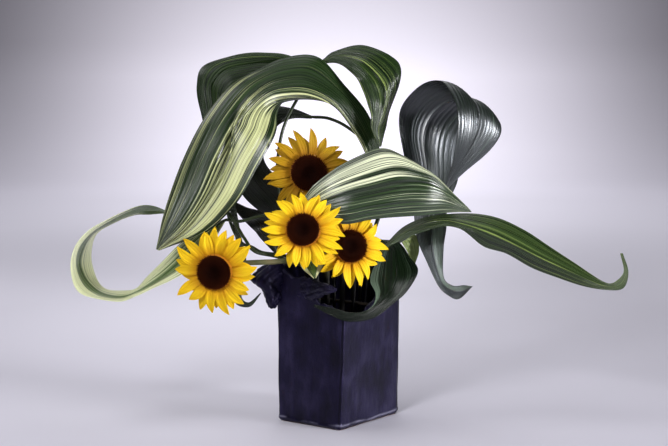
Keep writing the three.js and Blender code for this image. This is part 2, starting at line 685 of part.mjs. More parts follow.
function place(name, geometry, finish) {
  const mesh = new THREE.Mesh(geometry, new THREE.MeshStandardMaterial({ metalness: 0, ...MATERIALS[finish] }));
  mesh.name = name;
  arrangement.add(mesh);
}

place('vase', vase(), 'glaze');
place('water', water(), 'water');
place('crossbar', crossbar(), 'twig');

for (const [name, leaf] of Object.entries(LEAVES)) place(name, fuse([petiole(leaf), blade(leaf)]), 'leaf');

FLOWERS.forEach((flower, index) => {
  const frame = headFrame(flower);
  const number = index + 1;
  place(`flower_${number}_stem`, stem(flower, frame), 'stem');
  place(`flower_${number}_petals`, petals(flower, number).applyMatrix4(frame), 'petal');
  place(`flower_${number}_disc`, disc(flower).applyMatrix4(frame), 'disc');
});

export default arrangement;
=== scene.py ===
# %% [markdown]
# # An ikebana arrangement
#
# Four sunflowers and thirteen aspidistra leaves stand in the water of a tall vase that was built from
# slabs of clay. A CAD model of the whole thing is loaded first. It holds a plain, closed solid for every
# piece, and this script dresses each one with a finer surface of the same form and a finish of its own.
#
# All new surfaces are worked out with numpy as whole arrays of points, and then handed to Blender.

from math import radians

import bpy
import numpy as np
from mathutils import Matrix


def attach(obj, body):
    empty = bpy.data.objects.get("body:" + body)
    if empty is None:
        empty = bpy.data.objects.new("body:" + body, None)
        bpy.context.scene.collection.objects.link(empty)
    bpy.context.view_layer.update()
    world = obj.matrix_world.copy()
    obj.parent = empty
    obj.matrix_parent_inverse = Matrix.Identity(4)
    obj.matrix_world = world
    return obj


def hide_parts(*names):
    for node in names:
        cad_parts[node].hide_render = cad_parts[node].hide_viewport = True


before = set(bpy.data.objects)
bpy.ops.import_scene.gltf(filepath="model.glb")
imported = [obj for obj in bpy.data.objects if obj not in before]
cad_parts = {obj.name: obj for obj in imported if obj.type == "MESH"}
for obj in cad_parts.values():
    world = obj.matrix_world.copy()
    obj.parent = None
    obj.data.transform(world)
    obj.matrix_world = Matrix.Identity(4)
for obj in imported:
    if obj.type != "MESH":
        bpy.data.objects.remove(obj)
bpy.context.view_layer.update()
print("CAD nodes:", len(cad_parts))

# %% [markdown]
# ## Camera and studio
#
# The camera stands about two and a half metres in front, a little above the rim of the vase, and looks
# slightly down through a long lens, so the vase's edges stay nearly parallel. The arrangement stands on a
# pale floor that curves up into a pale wall all round, as in a photographer's cove. A curved sweep has no
# corner, so nothing distracts behind the leaves.

# %% Camera
MM = 0.001

camera = bpy.data.objects.new("camera", bpy.data.cameras.new("camera"))
bpy.context.scene.collection.objects.link(camera)
bpy.context.scene.camera = camera
camera.location = (-0.0075, -2.55, 0.592)
camera.rotation_euler = (radians(90 - 6.7), 0, 0)
camera.data.sensor_width = 36
camera.data.lens = 93.45
print("camera lens in mm:", camera.data.lens)

# %% [markdown]
# Blender's usual way to turn light into screen colours softens strong yellows. Sunflowers should stay as
# yellow as they are, so the plain way is used.

# %% Screen colours
bpy.context.scene.view_settings.view_transform = "Standard"
print("view transform:", bpy.context.scene.view_settings.view_transform)


# %% [markdown]
# ## From numbers to a mesh
#
# Every surface here is first a numpy array of points and some arrays of corner numbers. Adding vertices one
# by one in a Python loop would be slow, so whole arrays are copied into the mesh at once with foreach_set.

# %% A mesh from arrays
def build_mesh(name, points, face_sets, layers=None, flat_over=50):
    """Makes a mesh object from whole arrays.

    points is (n, 3) in metres. face_sets is a list of arrays of corner numbers, one array for each
    number of corners. layers gives a named number for every point, which a material can read.
    Edges sharper than flat_over degrees stay sharp, and the rest is shaded smooth.
    """
    mesh = bpy.data.meshes.new(name)
    corners = np.concatenate([faces.ravel() for faces in face_sets])
    sizes = np.concatenate([np.full(len(faces), faces.shape[1]) for faces in face_sets])
    starts = np.concatenate([[0], np.cumsum(sizes)[:-1]])
    mesh.vertices.add(len(points))
    mesh.vertices.foreach_set("co", np.ascontiguousarray(points, dtype=np.float32).ravel())
    mesh.loops.add(len(corners))
    mesh.loops.foreach_set("vertex_index", corners.astype(np.int32))
    mesh.polygons.add(len(starts))
    mesh.polygons.foreach_set("loop_start", starts.astype(np.int32))
    mesh.update(calc_edges=True)
    mesh.polygons.foreach_set("use_smooth", np.ones(len(starts), dtype=bool))
    mesh.set_sharp_from_angle(angle=radians(flat_over))
    for layer, values in (layers or {}).items():
        attribute = mesh.attributes.new(layer, "FLOAT", "POINT")
        attribute.data.foreach_set("value", np.ascontiguousarray(values, dtype=np.float32).ravel())
    obj = bpy.data.objects.new(name, mesh)
    bpy.context.scene.collection.objects.link(obj)
    return obj


# %% [markdown]
# ## The cove
#
# The floor and the wall are one sheet. Its side view is a line that runs out flat, bends up in a quarter
# circle and goes on straight up. Spinning this profile round the Z axis makes a bowl that is closed on all
# sides, so the same studio surrounds the arrangement from wherever it is looked at.

# %% A floor that curves up into a wall
FLOOR_RADIUS = 3.8
COVE_RADIUS = 2.0
WALL_TOP = 2.4


def full_turn(sides):
    """So many even angles round a circle."""
    return np.linspace(0, 2 * np.pi, sides, endpoint=False)


def spun(radius, height, sides):
    """A profile spun round the Z axis: one ring of points for each radius and height."""
    radius, height, turn = np.asarray(radius)[:, None], np.asarray(height)[:, None], full_turn(sides)
    return np.stack(np.broadcast_arrays(radius * np.cos(turn), radius * np.sin(turn), height), axis=-1)


def cove(sides=128):
    """A profile spun round the Z axis: flat to FLOOR_RADIUS, a quarter circle, then straight up."""
    bend = np.linspace(0, np.pi / 2, 17)
    bent = FLOOR_RADIUS + COVE_RADIUS * np.sin(bend)
    radius = np.concatenate([[0.02, 1, 3], bent, bent[-1:]])
    height = np.concatenate([[0, 0, 0], COVE_RADIUS * (1 - np.cos(bend)), [WALL_TOP]])
    rings = spun(radius, height, sides)
    index = np.arange(len(radius) * sides).reshape(len(radius), sides)
    after = np.roll(index, -1, axis=1)
    quads = np.stack([index[:-1], after[:-1], after[1:], index[1:]], axis=-1).reshape(-1, 4)[:, ::-1]
    return build_mesh("cove", rings.reshape(-1, 3), [quads, index[:1]])


studio = cove()
print("cove faces:", len(studio.data.polygons))


# %% [markdown]
# ## Putting shader nodes together
#
# A material is a small graph. A helper that adds one node and fills or wires its sockets in a single
# line keeps each finish readable, like a recipe.

# %% Shader helpers
def fill(tree, node, inputs):
    """Fills a node's sockets: each input is a plain value or another node's output."""
    for key, value in inputs.items():
        if isinstance(value, bpy.types.NodeSocket):
            tree.links.new(value, node.inputs[key])
        else:
            node.inputs[key].default_value = value


def put(tree, kind, inputs=None, **settings):
    """Adds a shader node, gives it its settings and fills its sockets."""
    node = tree.nodes.new("ShaderNode" + kind)
    for key, value in settings.items():
        setattr(node, key, value)
    fill(tree, node, inputs or {})
    return node


def layer_value(tree, name):
    """Reads one of the named numbers that the mesh carries at every point."""
    return put(tree, "Attribute", attribute_name=name).outputs["Fac"]


def arithmetic(tree, operation, *values):
    """One sum, product or other operation on numbers."""
    return put(tree, "Math", dict(enumerate(values)), operation=operation).outputs[0]


def rescale(tree, value, low, high, start=0.0, end=1.0):
    """Carries a number from the range low to high over to start to end, and stops at both ends."""
    inputs = {"Value": value, "From Min": low, "From Max": high, "To Min": start, "To Max": end}
    return put(tree, "MapRange", inputs).outputs[0]


def piece_place(tree):
    """A point's place in the piece's own frame, in metres, which doesn't change when the piece moves."""
    return put(tree, "TexCoord").outputs["Object"]


def height_above_foot(tree, place):
    """The upright part of a place."""
    return put(tree, "SeparateXYZ", {0: place}).outputs["Z"]


def noise(tree, place, scale, detail):
    """Cloudy noise round 0.5, with scale clouds to each unit of place."""
    return put(tree, "TexNoise", {"Vector": place, "Scale": scale, "Detail": detail}).outputs["Fac"]


def scaled_colour(tree, colour, scale):
    """A colour times a number."""
    return put(tree, "VectorMath", {0: colour, "Scale": scale}, operation="SCALE").outputs[0]


def blend_colours(tree, share, first, second):
    """first where share is 0, second where it is 1."""
    node = put(tree, "Mix", {"Factor": share}, data_type="RGBA")
    for socket, value in zip([s for s in node.inputs if s.type == "RGBA"], (first, second)):
        if isinstance(value, bpy.types.NodeSocket):
            tree.links.new(value, socket)
        else:
            socket.default_value = (*value, 1)
    return next(s for s in node.outputs if s.type == "RGBA")


def ramp(tree, value, stops):
    """A colour ramp; each stop is a place and a colour or a grey."""
    node = put(tree, "ValToRGB", {"Fac": value})
    band = node.color_ramp
    while len(band.elements) < len(stops):
        band.elements.new(0.5)
    for element, (place, colour) in zip(band.elements, stops):
        element.position = place
        element.color = (*colour, 1) if isinstance(colour, tuple) else (colour, colour, colour, 1)
    return node.outputs["Color"]


# %% [markdown]
# A material starts empty and gets one shader, into which its colour, roughness and relief are wired.
# A node group is a graph that several materials share, each with its own values, so all the leaves can
# use one pattern. The relief is a bump, which only changes the shading, so it is kept for veins and pores
# that are too small to model.

# %% Materials and node groups
def new_material(name):
    """An empty material with its shader; returns the material, its tree and the shader node."""
    material = bpy.data.materials.new(name)
    material.use_nodes = True
    tree = material.node_tree
    tree.nodes.clear()
    shader = put(tree, "BsdfPrincipled")
    put(tree, "OutputMaterial", {"Surface": shader.outputs["BSDF"]})
    return material, tree, shader


def new_group(name, takes, gives):
    """An empty node group with named sockets; each socket is (name, kind, default)."""
    tree = bpy.data.node_groups.new(name, "ShaderNodeTree")
    for socket, kind, default in takes:
        made = tree.interface.new_socket(socket, in_out="INPUT", socket_type="NodeSocket" + kind)
        made.default_value = default
    for socket, kind in gives:
        tree.interface.new_socket(socket, in_out="OUTPUT", socket_type="NodeSocket" + kind)
    start = tree.nodes.new("NodeGroupInput")
    end = tree.nodes.new("NodeGroupOutput")
    return tree, start.outputs, end.inputs


def use_group(tree, group, inputs):
    """Places a node group in a material with its own values."""
    node = tree.nodes.new("ShaderNodeGroup")
    node.node_tree = group
    fill(tree, node, inputs)
    return node.outputs


def paint(tree, shader, colour, roughness, height=None, depth=0.0005):
    """Wires a colour, a roughness and a relief of the given depth in metres into the shader."""
    fill(tree, shader, {"Base Color": colour, "Roughness": roughness})
    if height is not None:
        relief = put(tree, "Bump", {"Strength": 1.0, "Distance": depth, "Height": height})
        tree.links.new(relief.outputs["Normal"], shader.inputs["Normal"])


# %% [markdown]
# ## Light
#
# The main light is a soft one in front, high on the left. It lights the flowers' faces and the vase's
# left side. A second one stands low on the right: leaves are glossy, so they show its reflection as silver
# streaks, and it gives the vase its bluer right side. Light from high on the left shines along the bends
# of the arch and throws the vase's shadow to the right. Two weak ones above and one at the back left keep
# the shadows from going black. The last three light the floor and the wall. The world adds little, so that
# the hollows stay dark.

# %% Lights
def soft_light(name, place, target, size, watts, spread=180):
    """A square lamp at a place, turned so that it faces its target, with a beam so many degrees wide."""
    lamp = bpy.data.lights.new(name, "AREA")
    lamp.size = size
    lamp.energy = watts
    lamp.spread = radians(spread)
    obj = bpy.data.objects.new(name, lamp)
    obj.location = place
    line = np.array(target) - np.array(place)
    flat = np.hypot(line[0], line[1])
    obj.rotation_euler = (np.arctan2(flat, -line[2]), 0, np.arctan2(line[1], line[0]) - np.pi / 2)
    bpy.context.scene.collection.objects.link(obj)
    return obj


soft_light("front light", (-1.2, -2.4, 1.7), (0, 0, 0.3), 0.8, 11, spread=90)
soft_light("top light", (0.3, 0.7, 2.2), (0, 0, 0.3), 1.0, 1.0, spread=110)
soft_light("high front light", (0.2, -0.9, 2.3), (0, 0, 0.3), 1.0, 1.2, spread=110)
soft_light("high left light", (-1.1, -0.2, 2.4), (0, 0, 0.35), 1.2, 6, spread=110)
soft_light("side light", (2.2, -1.2, 0.55), (0.1, 0, 0.5), 0.8, 7.5, spread=50)
soft_light("back left light", (-1.8, 1.6, 1.6), (0, 0, 0.3), 1.0, 2.2, spread=90)
soft_light("table light", (0, 1.6, 3.2), (0, 1.6, 0), 3.0, 4, spread=120)
soft_light("floor light", (-0.1, 1.0, 1.0), (-0.1, 1.0, 0), 0.6, 0.8, spread=80)
soft_light("far light", (0, 3.4, 3.0), (0, 3.4, 0), 2.0, 44, spread=120)

world = bpy.data.worlds.new("studio")
bpy.context.scene.world = world
world.use_nodes = True
world.node_tree.nodes["Background"].inputs["Color"].default_value = (0.84, 0.82, 0.90, 1)
world.node_tree.nodes["Background"].inputs["Strength"].default_value = 0.04
print("lamps:", len(bpy.data.lights))

# %% [markdown]
# The paper of the cove is pale on the floor and darker up the wall: painted shade, where less light would
# reach.
# It also glows, as painted light, brightest in the middle of the wall and less towards the sides, as if lamps
# stood behind it. The glow comes back in eight directions, so the arrangement stands in front of a bright
# patch from whichever side one looks. It is meant for the eye: the Light Path node keeps four fifths of it
# for what the camera sees directly, since its full reflection would lie over the dark leaves as a grey veil.

# %% Floor and wall finish
floor_material, tree, shader = new_material("pale paper")
x, y, z = put(tree, "SeparateXYZ", {0: piece_place(tree)}).outputs
radius = arithmetic(tree, "SQRT", arithmetic(tree, "MULTIPLY_ADD", x, x, arithmetic(tree, "MULTIPLY", y, y)))
way_up = arithmetic(tree, "DIVIDE", arithmetic(tree, "ADD", radius, z), 8.0)
wave = arithmetic(tree, "COSINE", arithmetic(tree, "MULTIPLY", arithmetic(tree, "ARCTAN2", x, y), 8.0))
patch = arithmetic(tree, "POWER", arithmetic(tree, "MULTIPLY_ADD", wave, 0.5, 0.5), 1.3)
# Painted shade: the paper's colour gets darker up the wall.
paper = ramp(tree, way_up, [
    (0.0, (0.70, 0.68, 0.785)), (0.32, (0.69, 0.67, 0.775)),
    (0.45, (0.60, 0.58, 0.675)), (0.70, (0.20, 0.19, 0.225))])
# Painted light: the paper glows, though it is no lamp.
glow = ramp(tree, way_up, [(0.15, 0.0), (0.22, 0.29), (0.40, 0.33), (0.55, 0.80), (0.66, 0.91), (0.85, 0.29)])
seen = arithmetic(tree, "MULTIPLY_ADD", put(tree, "LightPath").outputs["Is Camera Ray"], 0.8, 0.2)
strength = arithmetic(tree, "MULTIPLY", arithmetic(tree, "MULTIPLY", glow, patch), seen)
paint(tree, shader, paper, 0.8)
light = blend_colours(tree, strength, (0, 0, 0), (1.02, 0.975, 1.11))
fill(tree, shader, {"Emission Color": light, "Emission Strength": 1.0})
studio.data.materials.append(floor_material)
print("nodes in the paper's finish:", len(tree.nodes))


# %% [markdown]
# ## Curves and sheets
#
# A leaf is a few given lines from its base to its tip: its edges and its midrib. A Catmull-Rom
# curve passes exactly through given points, so a leaf that is drawn by points on its edges keeps its
# outline. Nurbs or Bezier curves would need handles, or would cut the corners.

# %% A smooth curve through points
def catmull_rom(points, steps):
    """A curve through all the points, in so many steps from each point to the next.

    Between two points it is the cubic whose slope at each of them is half the way from the point before
    to the point after. Past each end the row goes on straight. points is (n, ...), with any shape after n.
    """
    points = np.asarray(points, dtype=float)
    before, after = 2 * points[:1] - points[1:2], 2 * points[-1:] - points[-2:-1]
    row = np.concatenate([before, points, after])
    place = np.linspace(0, len(points) - 1, steps * (len(points) - 1) + 1)
    i = np.minimum(place.astype(int), len(points) - 2)
    t = (place - i).reshape((-1,) + (1,) * (points.ndim - 1))
    p0, p1, p2, p3 = row[i], row[i + 1], row[i + 2], row[i + 3]
    return (p1 * (2 * t**3 - 3 * t**2 + 1) + (p2 - p0) / 2 * (t**3 - 2 * t**2 + t)
            + p2 * (3 * t**2 - 2 * t**3) + (p3 - p1) / 2 * (t**3 - t**2))


def unit(vectors):
    """Each vector divided by its length."""
    return vectors / np.maximum(np.linalg.norm(vectors, axis=-1, keepdims=True), 1e-12)


def smooth_step(value, low, high):
    """0 below low, 1 above high, and an even S between them.

    With t as the way from low to high, held within 0 and 1, it is 3 t^2 - 2 t^3.
    """
    t = np.clip((value - low) / (high - low), 0, 1)
    return t * t * (3 - 2 * t)


print("a quarter of the way over a bump:", catmull_rom([[0, 0], [1, 1], [2, 0]], 2)[1])


# %% [markdown]
# Two ways of giving lines a body are enough for everything here. A blade or a petal is a grid of points that
# gets two faces and a rim. A stem, a cup or a floret is a stack of rings with a skin and two caps. Both are
# closed, as a real thing is, so light meets an outside wherever it comes from.

# %% Thin sheets and lofted bodies as arrays
def grid_normals(grids):
    """The direction across a sheet crossed with the direction along it, at every point."""
    return unit(np.cross(np.gradient(grids, axis=2), np.gradient(grids, axis=1)))


def sheets(grids, thickness):
    """Gives grids (n, rows, columns, 3) two faces and a rim.

    Every point moves half the thickness to either side along its normal. The rim joins the two faces all
    round, so each sheet is closed. Returns the points and a list with the array of quads.
    """
    n, rows, columns, _ = grids.shape
    shift = grid_normals(grids) * np.broadcast_to(thickness, grids.shape[:3])[..., None] / 2
    points = np.concatenate([(grids + shift).reshape(-1, 3), (grids - shift).reshape(-1, 3)])
    half = n * rows * columns
    index = np.arange(half).reshape(n, rows, columns)
    a, b, c, d = index[:, :-1, :-1], index[:, :-1, 1:], index[:, 1:, 1:], index[:, 1:, :-1]
    front = np.stack([a, b, c, d], axis=-1).reshape(-1, 4)
    back = np.stack([a, d, c, b], axis=-1).reshape(-1, 4) + half
    border = np.concatenate(
        [index[:, 0, :-1], index[:, :-1, -1], index[:, -1, :0:-1], index[:, :0:-1, 0]], axis=1)
    following = np.roll(border, -1, axis=1)
    rim = np.stack([following, border, border + half, following + half], axis=-1).reshape(-1, 4)
    return points, [np.concatenate([front, back, rim])]


def lofts(rings):
    """Skins stacks of closed rings (n, rings, sides, 3), and caps both ends of each stack.

    Returns the points and two arrays of faces: the quads of the skins, and the caps.
    """
    n, count, sides, _ = rings.shape
    index = np.arange(n * count * sides).reshape(n, count, sides)
    after = np.roll(index, -1, axis=2)
    walls = np.stack([index[:, :-1], after[:, :-1], after[:, 1:], index[:, 1:]], axis=-1).reshape(-1, 4)
    caps = np.concatenate([index[:, 0, ::-1], index[:, -1]])
    return rings.reshape(-1, 3), [walls, caps]


flat = np.stack(np.meshgrid([0.0], [0.0, 1.0, 2.0], [0.0, 1.0, 2.0], indexing="ij"), axis=-1)
print("quads round a sheet of 3 by 3 points:", len(sheets(flat, 0.1)[1][0]))


# %% [markdown]
# A bar needs a circle at each point of its line. If each circle took its sideways direction from the
# bend there, the bar would twist where the bend turns over. One fixed direction for all avoids that.

# %% Round bars
def round_bar(line, radii, sides):
    """Rings round a line: at each point a circle that stands square to the line.

    The circles are set out from one fixed direction, the one that the line turns to least, so the bar
    doesn't twist.
    """
    along = unit(np.gradient(line, axis=0))
    aside = np.linalg.svd(along)[2][-1]
    across = unit(np.cross(along, aside))
    up = np.cross(along, across)
    angle = full_turn(sides)[None, :, None]
    circle = across[:, None] * np.cos(angle) + up[:, None] * np.sin(angle)
    return line[:, None] + circle * np.asarray(radii)[:, None, None]


# %% [markdown]
# A leaf and its stalk are one thing, so the parts of a piece are put together as one mesh. Its repeats
# shouldn't be alike, yet the script has to make the same thing in every run. The digits of a large sine
# look random and never change.

# %% Joining, varying and dressing pieces
def join_parts(parts):
    """Puts several (points, list of face arrays) together as one, with the corner numbers moved on."""
    points, faces, start = [], [], 0
    for part_points, part_faces in parts:
        points.append(part_points)
        faces += [f + start for f in part_faces]
        start += len(part_points)
    return np.concatenate(points), faces


def vary(number, kind):
    """A small steady difference between repeats, from -1 to 1: the far digits of a large sine."""
    value = np.sin(number * 12.9898 + kind * 78.233) * 43758.5453
    return 2 * (value - np.floor(value)) - 1


def dress(obj, node, material):
    """Gives a finished piece its material and its body, and hides the CAD node that it replaces."""
    obj.data.materials.append(material)
    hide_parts(node)
    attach(obj, "root")
    print(f"{obj.name}: {len(obj.data.polygons)} faces")


# %% [markdown]
# ## How the stems stand
#
# Every stem stands on the vase's floor near the middle and leans outwards to its place in the mouth. Above
# the mouth it goes its own way. The dimensions repeat those of the CAD solids, so that stems still pass
# through their holes in the water.

# %% Stem lines
VASE_FLOOR = 10
MOUTH_HEIGHT = 229
FOOT_SPREAD = 0.62
PETIOLE_RADIUS = 2.4
STEM_RADIUS = 3.9


def standing_place(mouth, height):
    """Where a stem is at a height, in mm, on its straight way up through the vase.

    Its place in the mouth is multiplied by a factor that grows evenly with the height, from FOOT_SPREAD on
    the vase's floor to 1 in the mouth.
    """
    spread = FOOT_SPREAD + (1 - FOOT_SPREAD) * (height - VASE_FLOOR) / (MOUTH_HEIGHT - VASE_FLOOR)
    return [mouth[0] * spread, mouth[1] * spread, height]


def stem_line(mouth, route, end, steps):
    """Straight from the vase's floor to the mouth, then a smooth curve through the other points."""
    straight = np.linspace(standing_place(mouth, VASE_FLOOR + 1.3), standing_place(mouth, MOUTH_HEIGHT), 12)
    curve = catmull_rom([standing_place(mouth, MOUTH_HEIGHT), *route, *end], steps)
    return np.concatenate([straight[:-1], curve])


print("foot of a stem that is 40 mm off the middle in the mouth:", standing_place([40, 0], VASE_FLOOR))


# %% [markdown]
# ## Aspidistra leaves
#
# An aspidistra leaf is a long, tough blade on a thin stalk. Ikebana artists bend and roll it, and it
# keeps the curl. Its many veins run from base to tip side by side, and the blade is pleated along them,
# which breaks up the light into streaks. This one is the variegated kind: some stretches between the
# veins have no green in them.

# %% The blade as a grid
LEAF_THICKNESS = 0.9
LEAF_BOW = 0.07
LEAST_WIDTH = 2.0
PLEAT_DEPTH = 0.28
ROWS_PER_STATION = 12


def blade_grid(stations, wide, columns, pleats, wave, crease, seed):
    """The middle surface of a blade, in mm, as rows from base to tip and columns from edge to edge.

    Along: a smooth curve through the stations' points, for each edge, fold and midrib.
    Across: straight from one of these lines to the next, then the corners are eased by averaging
    neighbours. A wide blade bows by LEAF_BOW of its width between the lines. Every blade is LEAST_WIDTH
    wider than its stations, so that its ends aren't sharper than a real leaf's.
    Relief: pleats are a cosine across the blade, which fades where the blade is narrow; the midrib is a
    narrow furrow; and the edges wave up and down a little along the leaf. A crease is one deeper furrow:
    its place across, where along the leaf it starts and ends, and its depth.
    Returns the grid, the place across (0 to 1, midrib at 0.5) and the place along (0 to 1). A folded
    blade's places across are shares of its true width, so that the stripes run on through the fold.
    """
    stations = np.asarray(stations, dtype=float)
    lines = catmull_rom(stations, ROWS_PER_STATION)
    rails = stations.shape[1]
    s = np.linspace(0, rails - 1, columns)
    span = np.minimum(s.astype(int), rails - 2)
    part = s - span
    grid = lines[:, span] * (1 - part)[:, None] + lines[:, span + 1] * part[:, None]
    width = np.linalg.norm(grid[:, -1] - grid[:, 0], axis=-1)[:, None]
    normal = grid_normals(grid[None])[0]
    if wide:
        grid = grid + normal * (LEAF_BOW * width * 4 * part * (1 - part))[..., None]
    for _ in range(3):
        padded = np.pad(grid, ((0, 0), (1, 1), (0, 0)), mode="reflect", reflect_type="odd")
        grid = (padded[:, :-2] + 2 * padded[:, 1:-1] + padded[:, 2:]) / 4
    rows = len(grid)
    inner = np.clip(np.arange(rows), ROWS_PER_STATION // 2, rows - 1 - ROWS_PER_STATION // 2)
    across_way = unit(grid[inner, -1] - grid[inner, 0])[:, None]
    grid = grid + across_way * (s / (rails - 1) - 0.5)[:, None] * LEAST_WIDTH
    along = np.linspace(0, 1, rows)[:, None]
    steps = np.pad(np.cumsum(np.linalg.norm(np.diff(grid, axis=1), axis=-1), axis=1), ((0, 0), (1, 0)))
    girth = steps[:, -1:]
    across = np.broadcast_to(s / (rails - 1), steps.shape) if rails == 3 else steps / girth
    ample = smooth_step(girth, 6, 45)
    relief = PLEAT_DEPTH * ample * np.cos(2 * np.pi * pleats * across + 0.6 * np.sin(7 * along + seed))
    relief -= 0.7 * ample * np.exp(-((across - 0.5) / 0.012) ** 2)
    edge = np.abs(2 * across - 1) ** 2
    relief += wave * ample * edge * np.sin(2 * np.pi * (3.1 * along + 0.5 * (across > 0.5)) + seed)
    relief += 0.5 * wave * ample * np.sin(2 * np.pi * (5.3 * along + 1.3 * across) + 2 * seed)
    if crease:
        place, low, high, depth = crease
        lengthwise = smooth_step(along, low, low + 0.03) * (1 - smooth_step(along, high - 0.05, high))
        relief -= depth * lengthwise * np.exp(-(((across - place) / 0.022) ** 2))
    return grid + normal * relief[..., None], across, np.broadcast_to(along, relief.shape)


print("rows in a blade with 9 stations:", 8 * ROWS_PER_STATION + 1)


# %% [markdown]
# A leaf is one blade and one stalk. Every point remembers how far across and along its leaf it is, so
# the stripes can follow the veins round every curl.

# %% A blade with its stalk
def leaf_piece(name, leaf, seed):
    """The blade with its stalk, as one mesh that carries its across, along and stalk numbers."""
    stations = np.asarray(leaf["stations"], dtype=float)
    wide = leaf.get("wide", False)
    columns = 97 if wide else 49
    grid, across, along = blade_grid(stations, wide, columns, leaf.get("pleats", 17), leaf.get("wave", 1.0),
                                     leaf.get("crease"), seed)
    thickness = LEAF_THICKNESS * (1 - 0.5 * np.abs(2 * across - 1) ** 8)
    blade = sheets(grid[None], thickness[None])
    middle = stations.shape[1] // 2
    base, following = stations[0, middle], stations[1, middle]
    root = base + 0.7 * (following - base)
    line = stem_line(leaf["mouth"], leaf["route"], [base, root], 8)
    fade = np.clip((len(line) - 1 - np.arange(len(line))) / 10, 0.12, 1)
    stalk = lofts(round_bar(line, PETIOLE_RADIUS * fade**0.7, 12)[None])
    points, faces = join_parts([blade, stalk])
    blade_count, stalk_count = len(blade[0]), len(stalk[0])
    layers = {
        "across": np.concatenate([across.ravel(), across.ravel(), np.full(stalk_count, 0.5)]),
        "along": np.concatenate([along.ravel(), along.ravel(), np.zeros(stalk_count)]),
        "stalk": np.repeat([0, 1], [blade_count, stalk_count]),
    }
    return build_mesh(name, points * MM, faces, layers)


# %% [markdown]
# ### The finish of a leaf
#
# A stripe on a real leaf follows its vein exactly, so the pattern is made from the two numbers that the
# blade carries: how far across it is, and how far along. Noise that is squeezed across and stretched
# along gives stripes of uneven width. Each leaf says how pale it is at each place across, and the noise
# decides, stripe by stripe, which stretches lost their green.

# %% Stripes between the veins, as a node group
def stripe_group():
    """Outputs the leaf's colour and the height of its veins."""
    tree, given, wanted = new_group(
        "striped blade",
        [("Across", "Float", 0.5), ("Along", "Float", 0.5), ("Pale share", "Float", 0.3),
         ("Seed", "Float", 0.0), ("Green", "Color", (0.03, 0.08, 0.02, 1)),
         ("Deep green", "Color", (0.015, 0.04, 0.012, 1)), ("Pale", "Color", (0.5, 0.55, 0.25, 1))],
        [("Color", "Color"), ("Veins", "Float")])

    def streaks(count, stretch, offset, detail):
        """Noise with so many streaks from edge to edge, which change slowly along the leaf."""
        x = arithmetic(tree, "MULTIPLY", given["Across"], count)
        y = arithmetic(tree, "MULTIPLY", given["Along"], stretch)
        z = arithmetic(tree, "ADD", given["Seed"], offset)
        place = put(tree, "CombineXYZ", {0: x, 1: y, 2: z}).outputs[0]
        return noise(tree, place, 1.0, detail)

    broad, narrow, fine = streaks(15, 0.8, 0.0, 1.0), streaks(60, 1.3, 7.3, 1.0), streaks(150, 2.4, 3.1, 0.0)
    mixed = arithmetic(tree, "MULTIPLY_ADD", broad, 0.4, arithmetic(tree, "MULTIPLY", narrow, 0.45))
    mixed = arithmetic(tree, "MULTIPLY_ADD", fine, 0.15, mixed)
    level = rescale(tree, given["Pale share"], 0.0, 1.0, 0.74, 0.28)
    pale = rescale(tree, arithmetic(tree, "SUBTRACT", mixed, level), -0.05, 0.07)
    green = blend_colours(tree, rescale(tree, narrow, 0.35, 0.65), given["Deep green"], given["Green"])
    colour = blend_colours(tree, pale, green, given["Pale"])
    shaded = scaled_colour(tree, colour, rescale(tree, fine, 0.3, 0.7, 0.66, 1.15))
    veins = arithmetic(tree, "MULTIPLY_ADD", narrow, 0.5, arithmetic(tree, "MULTIPLY", fine, 0.5))
    tree.links.new(shaded, wanted["Color"])
    tree.links.new(veins, wanted["Veins"])
    return tree


STRIPES = stripe_group()
print("stripe group nodes:", len(STRIPES.nodes))

# %% [markdown]
# Each leaf gets a finish of its own from that one group: its greens, where it is pale, and how glossy
# it is. Below the torn rim all stalks and stems are painted nearly black, as painted shade inside the vase.

# %% A leaf's own finish
def shaded_below_rim(tree, colour):
    """A stem's colour, which goes over to a near-black brown from the torn rim down: painted shade inside the
    vase.
    """
    height = height_above_foot(tree, piece_place(tree))
    # Painted shade: below the torn rim the colour goes over to near black.
    return blend_colours(tree, rescale(tree, height, 0.215, 0.242), (0.002, 0.0016, 0.001), colour)


STALK_GREEN = (0.022, 0.034, 0.011)


def leaf_finish(name, seed, leaf):
    """A leaf's own material: its greens, and how pale it is at each place across.

    "colours" holds its green, its deeper green and its pale colour.
    "pale" holds the shares near the tip. Where a leaf is paler or greener near its base, "pale_base" holds
    the shares there, and "turns" says between which places along the leaf one goes over to the other.
    "green_tip" says between which places a tip loses most of its paleness.
    "roughness", "shine", "wax" and "sheen" are for leaves that are glossier, duller or bluer than the rest.
    """
    green, deep, pale = leaf["colours"]
    material, tree, shader = new_material(name + " finish")
    across, along = layer_value(tree, "across"), layer_value(tree, "along")
    share = ramp(tree, across, leaf["pale"])
    if "pale_base" in leaf:
        tipward = rescale(tree, along, *leaf["turns"])
        share = blend_colours(tree, tipward, ramp(tree, across, leaf["pale_base"]), share)
    if "green_tip" in leaf:
        share = arithmetic(tree, "MULTIPLY", share, rescale(tree, along, *leaf["green_tip"], 1.0, 0.25))
    stripes = use_group(tree, STRIPES, {
        "Across": across, "Along": along, "Pale share": share, "Seed": float(seed),
        "Green": (*green, 1), "Deep green": (*deep, 1), "Pale": (*pale, 1)})
    # The stalk's colour carries painted shade below the torn rim.
    colour = blend_colours(tree, layer_value(tree, "stalk"), stripes["Color"], shaded_below_rim(tree, STALK_GREEN))
    roughness = leaf.get("roughness", 0.27)
    gloss = rescale(tree, stripes["Veins"], 0.0, 1.0, roughness - 0.08, roughness + 0.12)
    paint(tree, shader, colour, gloss, stripes["Veins"], depth=0.0007)
    fill(tree, shader, {
        "Specular IOR Level": leaf.get("shine", 0.5), "Coat Weight": leaf.get("wax", 0.15),
        "Coat Roughness": 0.3, "Specular Tint": (*leaf.get("sheen", (1.0, 1.0, 1.0)), 1)})
    return material


